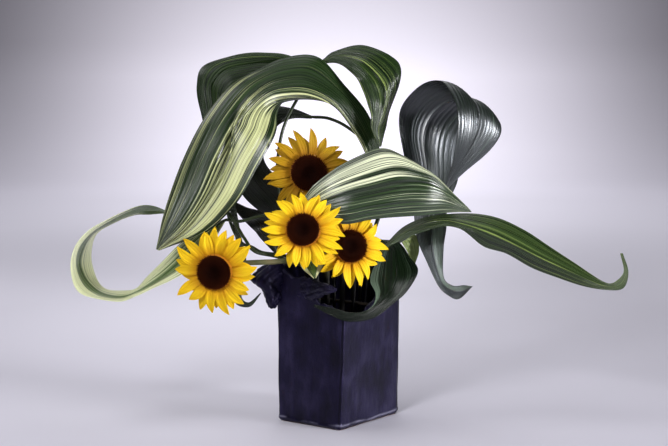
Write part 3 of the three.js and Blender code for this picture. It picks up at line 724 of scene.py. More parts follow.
# %% [markdown]
# ### The thirteen leaves
#
# Each leaf gives the place where its stalk passes the mouth, the stalk's way up, and its stations from
# base to tip. A station is a line across the blade: left edge, midrib and right edge, in millimetres. Few
# stations are enough, because the curves through them do the rest, and each can still be moved by hand.

# %% Leaf colours
GREEN = (0.022, 0.046, 0.009)
DEEP = (0.004, 0.011, 0.003)
BRIGHT = (0.055, 0.100, 0.018)
# The next green, nearly black, is painted shade: partly the darkest green of the leaves, partly the shade
# they lie in.
GREEN_IN_SHADE = (0.002, 0.004, 0.002)
LIME = (0.26, 0.34, 0.09)
# The grey-green below is painted sheen: a glint on the right loop's lower strand and a lit edge on the bowl.
PAINTED_SHEEN = (0.10, 0.14, 0.10)

# %% [markdown]
# The steps are the same for every leaf: blade and stalk as one mesh, a finish of its own, and its CAD node's
# place. The number is a seed. It shifts the stripes and the waves, so no two leaves are alike.

# %% Making a leaf
def make_leaf(node, seed, leaf):
    """Builds one leaf with its finish and puts it in its CAD node's place."""
    piece = leaf_piece(node.replace("leaf_", "aspidistra_"), leaf, seed)
    dress(piece, node, leaf_finish(node, seed, leaf))


# %% [markdown]
# The great arch rises in the middle, turns over at the top and hangs down on the left to a point. The
# lower half of its blade folds under along a deep crease, so each station has a fourth point, on the fold.

# %% The great arch
make_leaf("leaf_arch", 1, {
    "wide": True, "mouth": [22, 16], "route": [[50, 22, 272]],
    "colours": ((0.018, 0.042, 0.008), DEEP, (0.56, 0.59, 0.29)),
    "pale_base": [
        (0.0, 0.15), (0.2, 0.25), (0.29, 0.4), (0.34, 0.58), (0.4, 0.38), (0.46, 0.25), (1.0, 0.1)],
    "pale": [
        (0.0, 0.4), (0.08, 0.4), (0.16, 0.66), (0.3, 0.5),
        (0.42, 0.62), (0.6, 0.45), (0.68, 0.25), (1.0, 0.5)],
    "turns": (0.44, 0.56), "crease": (0.53, 0.56, 0.78, 6.0), "shine": 0.36, "wax": 0.2,
    "stations": [
        [[62, 36, 321], [63, 35, 322], [64, 34, 323], [66, 34, 324]],
        [[44, 48, 394], [40, 38, 394], [49, 40, 398], [60, 44, 399]],
        [[25, 50, 436], [17, 32, 433], [27, 36, 444], [42, 48, 450]],
        [[1, 46, 468], [-10, 22, 466], [-6, 28, 480], [7, 52, 494]],
        [[-37, 40, 481], [-47, 10, 478], [-47, 20, 500], [-31, 48, 535]],
        [[-77, 24, 475], [-85, -6, 477], [-87, 8, 497], [-76, 38, 536]],
        [[-90, 0, 457], [-112, -20, 468], [-113, -5, 492], [-120, 28, 516]],
        [[-92, -20, 434], [-141, -32, 450], [-140, -22, 471], [-160, 4, 493]],
        [[-99, -34, 415], [-151, -40, 433], [-154, -38, 438], [-197, -18, 447]],
        [[-119, -48, 380], [-158, -51, 392], [-163, -52, 393], [-225, -38, 392]],
        [[-149, -64, 329], [-186, -68, 340], [-191, -70, 341], [-241, -58, 347]],
        [[-193, -80, 289], [-217, -82, 296], [-222, -84, 298], [-254, -74, 303]],
        [[-258, -92, 264], [-259, -92, 264], [-260, -93, 265], [-261, -92, 265]],
    ],
})

# %% [markdown]
# A dark leaf climbs on the left, behind the arch, and turns over at the top.

# %% The leaf behind the arch
make_leaf("leaf_back", 2, {
    "wide": True, "mouth": [-50, -12],
    "route": [[-90, -38, 247], [-122, -54, 257], [-137, -56, 276], [-149, -55, 296], [-162, -46, 316],
              [-178, -22, 345]],
    "colours": (GREEN, DEEP, LIME), "pale": [(0.0, 0.1), (0.5, 0.2), (1.0, 0.1)], "shine": 0.3, "wax": 0.0,
    "stations": [
        [[-187, 5, 378], [-186, 5, 378], [-185, 5, 378]],
        [[-197, 16, 414], [-189, 10, 416], [-180, 5, 417]],
        [[-204, 35, 452], [-187, 20, 456], [-164, 10, 456]],
        [[-212, 50, 493], [-189, 34, 491], [-158, 16, 478]],
        [[-204, 62, 521], [-175, 45, 514], [-147, 22, 488]],
        [[-164, 72, 535], [-144, 55, 524], [-126, 30, 494]],
        [[-116, 78, 542], [-107, 66, 527], [-94, 52, 499]],
        [[-69, 84, 534], [-66, 76, 518], [-60, 66, 496]],
        [[-27, 80, 497], [-26, 80, 495], [-27, 80, 494]],
    ],
})

# %% [markdown]
# The highest leaf bends over to the right and tapers down behind the end of the arch.

# %% The highest leaf
make_leaf("leaf_top", 3, {
    "wide": True, "mouth": [-8, 10],
    "route": [[-50, 8, 278], [-80, 6, 313], [-90, 14, 348], [-92, 25, 376], [-84, 42, 428], [-61, 52, 476]],
    "colours": (GREEN, DEEP, LIME), "pale": [(0.0, 0.15), (0.45, 0.38), (0.6, 0.2), (0.9, 0.25), (1.0, 0.5)],
    "shine": 0.36,
    "stations": [
        [[-25, 59, 530], [-25, 59, 529], [-24, 59, 527]],
        [[-6, 62, 544], [-2, 56, 536], [-2, 50, 527]],
        [[37, 64, 552], [28, 48, 530], [18, 34, 515]],
        [[77, 66, 537], [54, 42, 508], [31, 26, 497]],
        [[92, 66, 513], [67, 38, 480], [40, 22, 477]],
        [[76, 62, 453], [62, 30, 454], [46, 20, 455]],
        [[68, 40, 427], [56, 24, 427], [49, 18, 431]],
        [[62, 22, 404], [61, 22, 404], [60, 22, 404]],
    ],
})

# %% [markdown]
# A narrow leaf bows over behind the highest flower. Little of it is seen, and it is painted near black, as
# painted shade behind the flower.

# %% The thin leaf
make_leaf("leaf_thin", 4, {
    "mouth": [34, 34], "route": [[58, 50, 293], [65, 56, 337], [52, 68, 393], [17, 70, 427], [-14, 68, 443]],
    "colours": (DEEP, GREEN_IN_SHADE, GREEN), "pale": [(0.0, 0.2), (1.0, 0.2)],
    "stations": [
        [[-41, 64, 444], [-41, 64, 446], [-41, 64, 447]],
        [[-72, 58, 444], [-72, 62, 451], [-72, 70, 458]],
        [[-96, 52, 430], [-102, 62, 445], [-107, 78, 459]],
        [[-115, 46, 405], [-131, 58, 415], [-150, 74, 426]],
        [[-114, 44, 388], [-134, 52, 385], [-153, 66, 373]],
        [[-105, 40, 368], [-126, 46, 353], [-148, 56, 335]],
        [[-76, 36, 337], [-100, 40, 322], [-119, 48, 305]],
        [[-58, 31, 303], [-75, 34, 292], [-88, 37, 281]],
        [[-51, 24, 265], [-52, 24, 265], [-54, 24, 265]],
    ],
})

# %% [markdown]
# The broad leaf in front reaches to the right. The upper half of its blade is striped with cream, and the
# lower half is green.

# %% The front leaf
make_leaf("leaf_front", 5, {
    "wide": True, "mouth": [-36, -34], "route": [[-52, -45, 263], [-64, -60, 287]],
    # The cream is the leaf's own, but it is painted whiter and covers more of the blade, as painted sheen.
    "colours": ((0.026, 0.060, 0.012), DEEP, (0.82, 0.86, 0.60)),
    "pale_base": [(0.0, 0.48), (0.1, 0.5), (0.3, 0.45), (0.42, 0.58), (0.5, 0.28), (0.75, 0.22), (1.0, 0.15)],
    "pale": [(0.0, 0.6), (0.1, 0.4), (0.4, 0.35), (0.5, 0.3), (1.0, 0.3)], "turns": (0.55, 0.8),
    "shine": 0.6, "wax": 0.55,
    "stations": [
        [[-64, -70, 304], [-62, -70, 302], [-61, -70, 301]],
        [[-42, -80, 348], [-35, -86, 326], [-28, -86, 310]],
        [[-9, -80, 377], [1, -95, 342], [8, -92, 303]],
        [[27, -72, 396], [41, -92, 351], [47, -88, 309]],
        [[67, -62, 407], [84, -85, 360], [90, -80, 312]],
        [[105, -55, 388], [123, -76, 359], [131, -70, 314]],
        [[142, -50, 362], [151, -66, 347], [163, -62, 316]],
        [[189, -59, 318], [190, -59, 317], [191, -59, 316]],
    ],
})

# %% [markdown]
# The leaf on the far left is rolled into an open loop. It is pale at both edges, with a green band between.

# %% The loop on the left
make_leaf("leaf_left_loop", 6, {
    "mouth": [-40, 0], "route": [[-58, -6, 259], [-80, -15, 291], [-108, -26, 306], [-144, -34, 299]],
    "colours": ((0.17, 0.27, 0.08), (0.06, 0.11, 0.03), (0.90, 0.94, 0.58)),
    "pale_base": [(0.0, 0.6), (0.2, 0.45), (0.4, 0.3), (0.6, 0.3), (0.8, 0.4), (1.0, 0.5)],
    "pale": [(0.0, 1.0), (0.24, 0.95), (0.36, 0.4), (0.58, 0.35), (0.74, 0.8), (1.0, 1.0)],
    "turns": (0.12, 0.3), "green_tip": (0.76, 0.92),
    "stations": [
        [[-167, -40, 299], [-167, -40, 301], [-167, -40, 302]],
        [[-188, -50, 265], [-195, -46, 276], [-204, -40, 287]],
        [[-210, -48, 236], [-221, -40, 250], [-233, -32, 265]],
        [[-244, -42, 215], [-251, -34, 224], [-261, -22, 235]],
        [[-274, -38, 201], [-277, -28, 205], [-285, -8, 211]],
        [[-298, -40, 190], [-300, -18, 191], [-303, 5, 193]],
        [[-321, -50, 182], [-324, -15, 184], [-327, 20, 188]],
        [[-354, -58, 188], [-354, -12, 189], [-351, 30, 190]],
        [[-379, -60, 201], [-375, -10, 207], [-366, 35, 203]],
        [[-389, -58, 231], [-385, -8, 232], [-374, 36, 229]],
        [[-386, -55, 259], [-380, -6, 256], [-371, 36, 253]],
        [[-371, -48, 282], [-367, -4, 274], [-363, 34, 272]],
        [[-346, -40, 299], [-343, -2, 290], [-343, 30, 286]],
        [[-300, -30, 318], [-303, 0, 310], [-306, 24, 302]],
        [[-273, -22, 319], [-277, 2, 311], [-281, 12, 305]],
        [[-250, -12, 310], [-250, -10, 309], [-250, -8, 308]],
    ],
})

# %% [markdown]
# The darkest and glossiest leaf rolls over into a wide loop, and its tip hangs down to a hook.

# %% The loop on the right
make_leaf("leaf_right_loop", 7, {
    "wide": True, "mouth": [44, 12], "route": [[72, 6, 253], [105, -2, 275], [137, -2, 305]],
    # The grey-green on the lower strand near the tip is painted sheen; the near-black greens are partly its
    # own, partly painted shade.
    "colours": (DEEP, GREEN_IN_SHADE, PAINTED_SHEEN), "pale_base": [(0.0, 0.1), (0.5, 0.2), (1.0, 0.25)],
    "pale": [(0.0, 0.1), (0.45, 0.15), (0.6, 0.85), (0.85, 0.8), (1.0, 0.1)], "turns": (0.66, 0.72),
    "roughness": 0.33, "shine": 1.0, "wax": 1.0, "sheen": (0.82, 0.88, 1.0),
    "stations": [
        [[155, 0, 342], [156, 0, 342], [157, 0, 342]],
        [[164, -14, 375], [172, -4, 373], [184, 6, 366]],
        [[172, -22, 407], [191, -2, 402], [218, 14, 395]],
        [[175, -24, 439], [205, 2, 432], [237, 20, 420]],
        [[173, -20, 464], [205, 8, 456], [239, 26, 437]],
        [[164, -5, 486], [198, 22, 472], [231, 40, 449]],
        [[149, 15, 500], [185, 40, 477], [221, 55, 452]],
        [[123, 30, 494], [162, 54, 469], [206, 68, 440]],
        [[97, 40, 468], [137, 60, 446], [190, 72, 416]],
        [[90, 40, 440], [126, 56, 415], [184, 66, 386]],
        [[97, 36, 395], [131, 46, 373], [178, 54, 350]],
        [[110, 28, 339], [135, 34, 326], [162, 32, 316]],
        [[116, 12, 275], [136, 18, 280], [159, 14, 283]],
        [[131, 0, 236], [140, 7, 242], [155, 5, 256]],
        [[147, -6, 201], [151, -2, 206], [155, 0, 212]],
        [[162, -6, 186], [165, -6, 193], [168, -6, 199]],
        [[178, -10, 181], [181, -10, 191], [185, -10, 200]],
        [[197, -15, 200], [197, -15, 200], [197, -15, 199]],
    ],
})

# %% [markdown]
# A long leaf reaches far out to the right. It has one pale vein in the middle and curls up at its tip.

# %% The reaching leaf
make_leaf("leaf_reach", 8, {
    "mouth": [24, -18], "route": [[52, -38, 248]],
    "wave": 0.4,
    "colours": ((0.046, 0.082, 0.020), DEEP, LIME),
    "pale": [(0.0, 0.3), (0.47, 0.25), (0.5, 1.0), (0.53, 0.25), (1.0, 0.2)],
    "stations": [
        [[67, -40, 264], [68, -40, 263], [69, -40, 262]],
        [[94, -28, 289], [96, -36, 283], [100, -40, 277]],
        [[126, -18, 302], [130, -34, 297], [134, -42, 289]],
        [[158, -8, 306], [159, -32, 299], [156, -40, 293]],
        [[199, -8, 306], [191, -36, 292], [181, -30, 286]],
        [[237, -10, 299], [223, -38, 281], [213, -20, 261]],
        [[274, -14, 282], [257, -40, 265], [247, -22, 251]],
        [[309, -20, 259], [293, -42, 247], [284, -26, 230]],
        [[343, -28, 237], [330, -45, 230], [319, -34, 217]],
        [[372, -38, 218], [366, -48, 214], [358, -42, 205]],
        [[392, -50, 209], [392, -50, 205], [389, -50, 201]],
        [[405, -50, 213], [410, -49, 209], [414, -48, 203]],
        [[416, -46, 227], [418, -46, 227], [421, -46, 226]],
        [[411, -42, 253], [412, -42, 253], [413, -42, 253]],
    ],
})

# %% [markdown]
# One leaf curls down over the rim at the front, like a bowl, and hides the lowest part of the torn edge.

# %% The leaf in the dip of the rim
make_leaf("leaf_bowl", 9, {
    "mouth": [34, 0], "route": [[46, -3, 250]],
    # The pale edge near its base is a painted highlight, and its near-black greens are painted shade.
    "colours": (DEEP, GREEN_IN_SHADE, PAINTED_SHEEN), "pale_base": [(0.0, 0.2), (0.76, 0.25), (0.88, 0.7), (1.0, 0.9)],
    "pale": [(0.0, 0.05), (0.8, 0.08), (1.0, 0.12)], "turns": (0.5, 0.7), "shine": 0.2, "wax": 0.05,
    "stations": [
        [[57, -2, 268], [58, -2, 267], [59, -3, 266]],
        [[89, -2, 263], [78, -14, 261], [66, -22, 252]],
        [[105, -12, 240], [83, -32, 239], [52, -42, 234]],
        [[115, -28, 223], [83, -50, 218], [46, -60, 215]],
        [[98, -48, 197], [75, -64, 198], [53, -74, 198]],
        [[76, -64, 181], [59, -80, 183], [51, -85, 186]],
        [[47, -84, 164], [40, -93, 172], [37, -95, 176]],
        [[14, -101, 163], [15, -104, 169], [15, -105, 175]],
        [[-12, -100, 172], [-10, -101, 177], [-9, -102, 181]],
        [[-36, -90, 183], [-36, -90, 183], [-36, -90, 184]],
    ],
})

# %% [markdown]
# A small leaf with white edges peeps out below the flower in the middle.

# %% The small leaf
make_leaf("leaf_small", 10, {
    "mouth": [-32, -46], "route": [],
    "colours": ((0.09, 0.16, 0.03), GREEN, (0.75, 0.77, 0.40)),
    "pale": [(0.0, 1.0), (0.2, 1.0), (0.28, 0.15), (0.72, 0.15), (0.8, 1.0), (1.0, 1.0)],
    "stations": [
        [[-39, -48, 241], [-41, -48, 241], [-43, -48, 241]],
        [[-31, -60, 254], [-44, -62, 255], [-58, -62, 255]],
        [[-23, -80, 245], [-41, -84, 243], [-53, -82, 238]],
        [[-34, -94, 224], [-35, -94, 224], [-36, -94, 224]],
    ],
})

# %% [markdown]
# Only the pale tip of this leaf shows, between the bowl and the loop on the right.

# %% The pale leaf
make_leaf("leaf_pale", 11, {
    "mouth": [48, 26], "route": [[79, 14, 256]],
    "colours": (BRIGHT, BRIGHT, LIME), "pale": [(0.0, 0.7), (1.0, 0.7)],
    "stations": [
        [[93, 14, 271], [92, 14, 270], [91, 14, 269]],
        [[115, 20, 271], [104, 17, 262], [95, 14, 261]],
        [[119, 22, 249], [109, 19, 247], [103, 17, 247]],
        [[113, 18, 229], [112, 18, 229], [111, 18, 229]],
    ],
})

# %% [markdown]
# A short leaf fills the space between the stems. It is painted near black, as painted shade among them.

# %% The dark leaf
make_leaf("leaf_dark", 12, {
    "mouth": [-34, 14], "route": [[-58, -4, 239]],
    "colours": (GREEN_IN_SHADE, GREEN_IN_SHADE, DEEP), "pale": [(0.0, 0.3), (1.0, 0.3)],
    "stations": [
        [[-86, -20, 242], [-84, -20, 243], [-83, -20, 244]],
        [[-111, -18, 268], [-102, -14, 273], [-92, -10, 280]],
        [[-125, -14, 284], [-120, -8, 295], [-112, -2, 306]],
        [[-143, -8, 301], [-142, -4, 309], [-139, 0, 316]],
        [[-164, 0, 326], [-164, 0, 327], [-164, 0, 328]],
    ],
})

# %% [markdown]
# The last leaf is narrow. It bends down on the left and ends in a small upward curl beside the vase.

# %% The tail
make_leaf("leaf_tail", 13, {
    "mouth": [-20, 24],
    "route": [[-84, -5, 245], [-113, -12, 250], [-128, -14, 258], [-146, -16, 267], [-161, -13, 298]],
    # Its deeper stripes are near black: partly its own dark green, partly painted shade.
    "colours": (DEEP, GREEN_IN_SHADE, GREEN), "pale": [(0.0, 0.4), (1.0, 0.4)],
    "stations": [
        [[-169, -6, 334], [-168, -6, 334], [-166, -6, 334]],
        [[-172, -16, 348], [-166, -20, 351], [-160, -16, 348]],
        [[-158, -28, 312], [-155, -30, 312], [-151, -28, 313]],
        [[-151, -31, 274], [-147, -32, 274], [-144, -31, 275]],
        [[-144, -34, 239], [-141, -36, 239], [-137, -34, 239]],
        [[-150, -36, 198], [-147, -38, 198], [-144, -36, 198]],
        [[-151, -36, 178], [-145, -38, 180], [-142, -36, 183]],
        [[-131, -36, 174], [-131, -38, 177], [-131, -36, 179]],
        [[-115, -36, 193], [-115, -36, 193], [-115, -36, 193]],
    ],
})

# %% [markdown]
# ## Sunflowers
#
# A sunflower's head is a flat cup. Long yellow ray petals stand round its edge in two layers, the ones
# behind filling the gaps. The dark disc in the middle is packed with hundreds of tiny florets, set out
# along two families of spirals. Each head is made facing straight up and then turned to where it looks.
#
# "disc" and "reach" are the radii of the disc and of the petals' tips, in millimetres. "mouth" and "route"
# lead the stem, as on the leaves. "deep" turns the petals orange, a factor below 1 darkens them as painted
# shade, and "fullness" broadens them.

# %% The flowers' places and sizes
FLOWERS = [
    {
        "centre": [-44, -50, 371], "facing": [0.05, -0.98, 0.2], "disc": 26, "reach": 62,
        # This flower's petals are darkened by half: painted shade from the arch leaf above it.
        "mouth": [-20, -10], "route": [[-25, -12, 265], [-36, -18, 318]], "deep": 0.4, "petal_shade": 0.5,
    },
    {
        "centre": [-51, -125, 297], "facing": [-0.04, -0.95, 0.3], "disc": 23, "reach": 58,
        "mouth": [-18, -38], "route": [[-24, -55, 269], [-40, -86, 286]], "deep": 0.0,
    },
    {
        "centre": [-177, -116, 236], "facing": [-0.22, -0.97, -0.06], "disc": 24.5, "reach": 61,
        "mouth": [-42, -18], "route": [[-70, -48, 242], [-100, -70, 244], [-136, -82, 244], [-160, -87, 241]],
        "deep": 0.1, "fullness": 1.2,
    },
    {
        "centre": [16, -80, 268], "facing": [0.34, -0.92, 0.18], "disc": 23.5, "reach": 57,
        "mouth": [5, -34], "route": [[7, -46, 253]], "deep": 0.05,
    },
]
print("flowers:", len(FLOWERS))


def turn_head(flower, points):
    """Moves points from the head's own frame, where it faces along +Z, to where it is and looks."""
    face = unit(np.array(flower["facing"], dtype=float))
    right = unit(np.cross([0, 0, 1], face))
    up = np.cross(face, right)
    return points @ np.array([right, up, face]) + flower["centre"]


# %% [markdown]
# ### Petals
#
# A petal is a long pointed blade with two shallow grooves. No two are alike, so each leans, sways and rolls
# by its own small amount, which comes from its number by a formula: the same flower grows in every run. All
# 14 petals of a whorl are worked out at once, as one array with a row for each petal.

# %% Petals
PETALS_PER_WHORL = 14
PETAL_THICKNESS = 0.8
PETAL_HALF_WIDTH = 6.8
PETAL_KEEL = 0.16


def rays(start, end, angle, half_width, height, keel, sway, roll, rows, columns):
    """Pointed blades that grow out from a head, all of them at once.

    t runs from root to tip and s from side to side. The blade is half_width times
    0.5 + 1.8 t - 1.9 t^2 - 0.38 t^4 wide on each side, height(t) high, and its sides lift by keel.
    It is grooved lengthwise by a cosine of s, sways sideways with the square of t, and rolls a little
    round its own middle line.
    """
    t = np.linspace(0, 1, rows)[None, :, None]
    s = np.linspace(1, -1, columns)[None, None, :]
    turn = angle[:, None, None] + sway[:, None, None] * t**2
    half = half_width * (0.5 + 1.8 * t - 1.9 * t**2 - 0.38 * t**4)
    radius = start + (end[:, None, None] - start) * t
    groove = 0.4 * np.cos(3 * np.pi * s) * smooth_step(t, 0.05, 0.3) * (1 - smooth_step(t, 0.8, 1))
    z = height(t) + keel * half * np.abs(s) + groove + roll[:, None, None] * s * half * t
    x = radius * np.cos(turn) - s * half * np.sin(turn)
    y = radius * np.sin(turn) + s * half * np.cos(turn)
    grids = np.stack(np.broadcast_arrays(x, y, z), axis=-1)
    return grids, np.broadcast_to(t, x.shape), np.broadcast_to(s, x.shape)


print("petals on each head:", 2 * PETALS_PER_WHORL)


# %% [markdown]
# A head has two whorls of petals. The second stands half a step round from the first and lies lower, so
# its petals fill the gaps. A thin plate behind the disc holds all of them together.

# %% A head's petals
def petals_piece(number, flower):
    """Two whorls of petals, rooted in a thin plate behind the disc.

    Petal k stands k fourteenths of a turn round, and half a step further in the second whorl. Its height
    goes up evenly by its lift and down by the square of the way out, so it arches and its tip hangs a little.
    """
    parts, lengths, sides = [], [], []
    for whorl in range(2):
        k = np.arange(PETALS_PER_WHORL)
        who = number * 100 + whorl * 40 + k
        angle = 2 * np.pi * (k + whorl / 2 + 0.12 * vary(who, 1)) / PETALS_PER_WHORL
        tip = flower["reach"] * (0.99 + 0.09 * vary(who, 2) - 0.03 * whorl)
        lift = (9 + 3 * vary(who, 3) if whorl == 0 else 1 + 1.5 * vary(who, 3))[:, None, None]
        half_width = PETAL_HALF_WIDTH * flower.get("fullness", 1.0)
        sway, roll = 0.2 * vary(who, 6), 0.4 * vary(who, 9)
        grid, t, s = rays(
            flower["disc"] - 1, tip, angle, half_width,
            lambda t: -2 - 1.4 * whorl + lift * t - 6.5 * t * t, PETAL_KEEL, sway, roll, 17, 13)
        parts.append(sheets(grid, PETAL_THICKNESS * (1 - 0.4 * t)))
        lengths += [t.ravel(), t.ravel()]
        sides += [np.broadcast_to(who[:, None, None], t.shape).ravel() + s.ravel() * 0.2] * 2
    plate = spun(flower["disc"] + np.array([1, 1.5, 1.5, 1]), [-4.3, -3.8, -0.8, -0.3], 64)
    points, faces = join_parts(parts + [lofts(plate[None])])
    blank = [np.zeros(plate[..., 0].size)]
    layers = {"along": np.concatenate(lengths + blank), "which": np.concatenate(sides + blank)}
    return build_mesh(f"sunflower_{number}_petals", turn_head(flower, points) * MM, faces, layers)


# %% [markdown]
# The yellow is not even. It is orange at the root, and darker there as painted shade by the disc, finely
# streaked along the petal, and a little different on each one. The petals carry two numbers for this, the
# place along and which petal it is. Noise that reads them stays on its petal, where noise in space would run
# across from one to the next.

# %% Petal finish
def petal_finish(number, deep, petal_shade):
    """Yellow that turns orange towards the root and darker there as painted shade, with fine streaks and a
    tone of its own on each petal.

    deep is how far this flower's yellow has gone over to orange. A shade factor below 1 darkens the whole
    petal, as painted shade on a flower that lies in shade.
    """
    material, tree, shader = new_material(f"petal finish {number}")
    along, which = layer_value(tree, "along"), layer_value(tree, "which")
    place = put(tree, "CombineXYZ", {0: arithmetic(tree, "MULTIPLY", which, 26.0), 1: along, 2: 0.0})
    streak = noise(tree, place.outputs[0], 1.0, 2.0)
    place = put(tree, "CombineXYZ", {0: arithmetic(tree, "MULTIPLY", which, 1.7), 1: 0.0, 2: 4.0})
    tone = noise(tree, place.outputs[0], 1.0, 0.0)
    reach = arithmetic(tree, "MULTIPLY_ADD", streak, 0.35, arithmetic(tree, "SUBTRACT", along, 0.17))
    # Painted shade: the ramp darkens the petal towards its root, by the disc.
    body = ramp(tree, reach, [
        (0.0, (0.42, 0.12, 0.002)), (0.2, (0.84, 0.44, 0.004)), (0.5, (0.97, 0.68, 0.008))])
    warm = blend_colours(tree, arithmetic(tree, "MULTIPLY_ADD", tone, 0.45, deep), body, (0.70, 0.30, 0.003))
    # Painted shade: the petal colour is multiplied by the flower's shade factor.
    paint(tree, shader, scaled_colour(tree, warm, petal_shade), 0.6, streak, depth=0.0012)
    fill(tree, shader, {"Specular IOR Level": 0.2})
    return material


# %% [markdown]
# ### Discs
#
# The florets of a sunflower stand on a spiral: each is turned from the one before by the golden angle, so
# none hides behind another, however many there are. The formula for it is one line, and it also makes the
# two families of arms that one sees on a real disc. Each floret has only a few faces, as there are 620.

# %% Discs
FLORETS = 620
GOLDEN_ANGLE = radians(137.508)


def dome_height(part):
    """The disc's height at a part of its radius: a rounded shoulder with a sunken middle.

    The shoulder is half a sine wave over the radius, and a bell curve is taken away in the middle.
    """
    shoulder = np.sin(np.pi * np.minimum(1, part * 1.02) ** 1.4)
    return 3.2 + 3.4 * shoulder - 1.6 * np.exp(-((part / 0.36) ** 2))


def disc_piece(number, flower):
    """A low dome with a floret at each point of a spiral.

    Floret k stands at the radius sqrt(k / n) and the golden angle times k, so that all have the same
    room. It is a five-sided bud: the outer ones are taller, open and lean outwards.
    """
    part = np.linspace(1, 0.012, 40)
    radius = np.concatenate([[flower["disc"] - 1.2], (flower["disc"] - 0.3) * part])
    height = np.concatenate([[0], np.where(part > 0.995, 2.2, dome_height(part))])
    dome = lofts(spun(radius, height, 128)[None])
    k = np.arange(FLORETS)
    out = np.sqrt((k + 0.5) / FLORETS)
    angle = k * GOLDEN_ANGLE
    outer = smooth_step(out, 0.55, 0.9)
    tall = 0.8 + 2.0 * outer + 0.35 * vary(k, 7)
    lean = 0.15 + 0.85 * smooth_step(out, 0.7, 1)
    centre = np.stack([np.cos(angle) * out, np.sin(angle) * out], axis=-1) * (flower["disc"] - 1.0)
    way = np.stack([np.cos(angle), np.sin(angle)], axis=-1)
    side = full_turn(5)
    levels = np.array([[-0.6, 0.75], [0.35, 0.85], [0.8, 0.6], [1.0, 0.28]])
    rise = levels[None, :, 0] * tall[:, None]
    girth = levels[None, :, 1] * (0.72 + 0.2 * outer)[:, None]
    middle = centre[:, None] + way[:, None] * (lean[:, None] * np.maximum(rise, 0))[..., None]
    x = middle[..., 0][..., None] + girth[..., None] * np.cos(side)
    y = middle[..., 1][..., None] + girth[..., None] * np.sin(side)
    z = np.broadcast_to((dome_height(out)[:, None] + rise)[..., None], x.shape)
    points, faces = join_parts([dome, lofts(np.stack([x, y, z], axis=-1))])
    tips = np.broadcast_to(levels[None, :, :1], x.shape).ravel()
    layers = {
        "tip": np.concatenate([np.zeros(len(dome[0])), tips]),
        "out": np.hypot(points[:, 0], points[:, 1]) / flower["disc"],
    }
    return build_mesh(f"sunflower_{number}_disc", turn_head(flower, points) * MM, faces, layers)


# %% [markdown]
# The disc is almost black. Its florets show because they turn brown at their tips, and more so towards
# the rim, where they are open.

# %% Disc finish
def disc_finish():
    """Near-black brown, a warmer brown at the florets' tips and towards the rim."""
    material, tree, shader = new_material("disc finish")
    tip, out = layer_value(tree, "tip"), layer_value(tree, "out")
    speck = noise(tree, piece_place(tree), 900.0, 2.0)
    raised = arithmetic(tree, "MAXIMUM", tip, 0.15)
    warmth = arithmetic(tree, "MULTIPLY", rescale(tree, out, 0.3, 1.0), raised)
    ground = ramp(tree, speck, [(0.3, (0.004, 0.0008, 0.0004)), (0.7, (0.013, 0.0022, 0.0008))])
    colour = blend_colours(tree, warmth, ground, (0.070, 0.014, 0.004))
    paint(tree, shader, colour, 0.8, speck, depth=0.0004)
    fill(tree, shader, {"Specular IOR Level": 0.04})
    return material


DISC = disc_finish()
print("nodes in the disc's finish:", len(DISC.node_tree.nodes))


# %% [markdown]
# ### Stems
#
# Behind the head the stem widens into a cup, and pointed green bracts stand on it. They are rays like the
# petals, only shorter and fewer, so the same function makes them. The cup is a profile that is spun round.

# %% Stems, cups and bracts
BRACTS = 8
BRACT_HALF_WIDTH = 5.6
BRACT_KEEL = 0.1


def stem_piece(number, flower):
    """The stem, the cup that it widens into behind the head, and the pointed green bracts on the cup.

    The cup is a smooth curve through five pairs of radius and height, spun round the head's axis.
    """
    size = flower["disc"] / 24
    k = np.arange(BRACTS)
    angle = 2 * np.pi * (k + 0.2 * vary(k, 4)) / BRACTS
    reach = flower["reach"] * (0.72 + 0.08 * vary(k, 5))
    sway, roll = 0.05 * vary(k, 8), 0.2 * vary(k, 9)
    grid, t, _ = rays(flower["disc"] * 0.72, reach, angle, BRACT_HALF_WIDTH,
                      lambda t: -7.5 - 5 * t + 2 * t * t, BRACT_KEEL, sway, roll, 13, 9)
    bracts, bract_faces = sheets(grid, 1.0 - 0.4 * t)
    profile = catmull_rom([[3.9, -22], [5.5, -19], [13, -15], [21, -9], [22, -4.6]], 5) * [size, 1]
    cup, cup_faces = lofts(spun(profile[:, 0], profile[:, 1], 48)[None])
    neck, inside = turn_head(flower, np.array([[0, 0, -26.0], [0, 0, -10.0]]))
    line = stem_line(flower["mouth"], flower["route"], [neck, inside], 10)
    stem = lofts(round_bar(line, np.full(len(line), STEM_RADIUS), 24)[None])
    points, faces = join_parts([
        (turn_head(flower, bracts), bract_faces), (turn_head(flower, cup), cup_faces), stem])
    return build_mesh(f"sunflower_{number}_stem", points * MM, faces)


def stem_finish():
    """Dull olive green, browner in patches, with a fine nap."""
    material, tree, shader = new_material("sunflower stem finish")
    position = piece_place(tree)
    patch = noise(tree, position, 22.0, 3.0)
    green = ramp(tree, patch, [(0.35, (0.075, 0.095, 0.034)), (0.65, (0.17, 0.14, 0.075))])
    nap = noise(tree, position, 1400.0, 1.0)
    # Painted shade: below the torn rim the stems are painted near black.
    paint(tree, shader, shaded_below_rim(tree, green), 0.6, nap, depth=0.0003)
    fill(tree, shader, {"Specular IOR Level": 0.2})
    return material


STEM = stem_finish()
print("nodes in the stems' finish:", len(STEM.node_tree.nodes))

# %% [markdown]
# Each flower is three pieces, since it has three finishes: the green stem, the yellow petals, the dark disc.

# %% Make the sunflowers
for number, flower in enumerate(FLOWERS, start=1):
    dress(stem_piece(number, flower), f"flower_{number}_stem", STEM)
    finish = petal_finish(number, flower["deep"], flower.get("petal_shade", 1.0))
    dress(petals_piece(number, flower), f"flower_{number}_petals", finish)
    dress(disc_piece(number, flower), f"flower_{number}_disc", DISC)

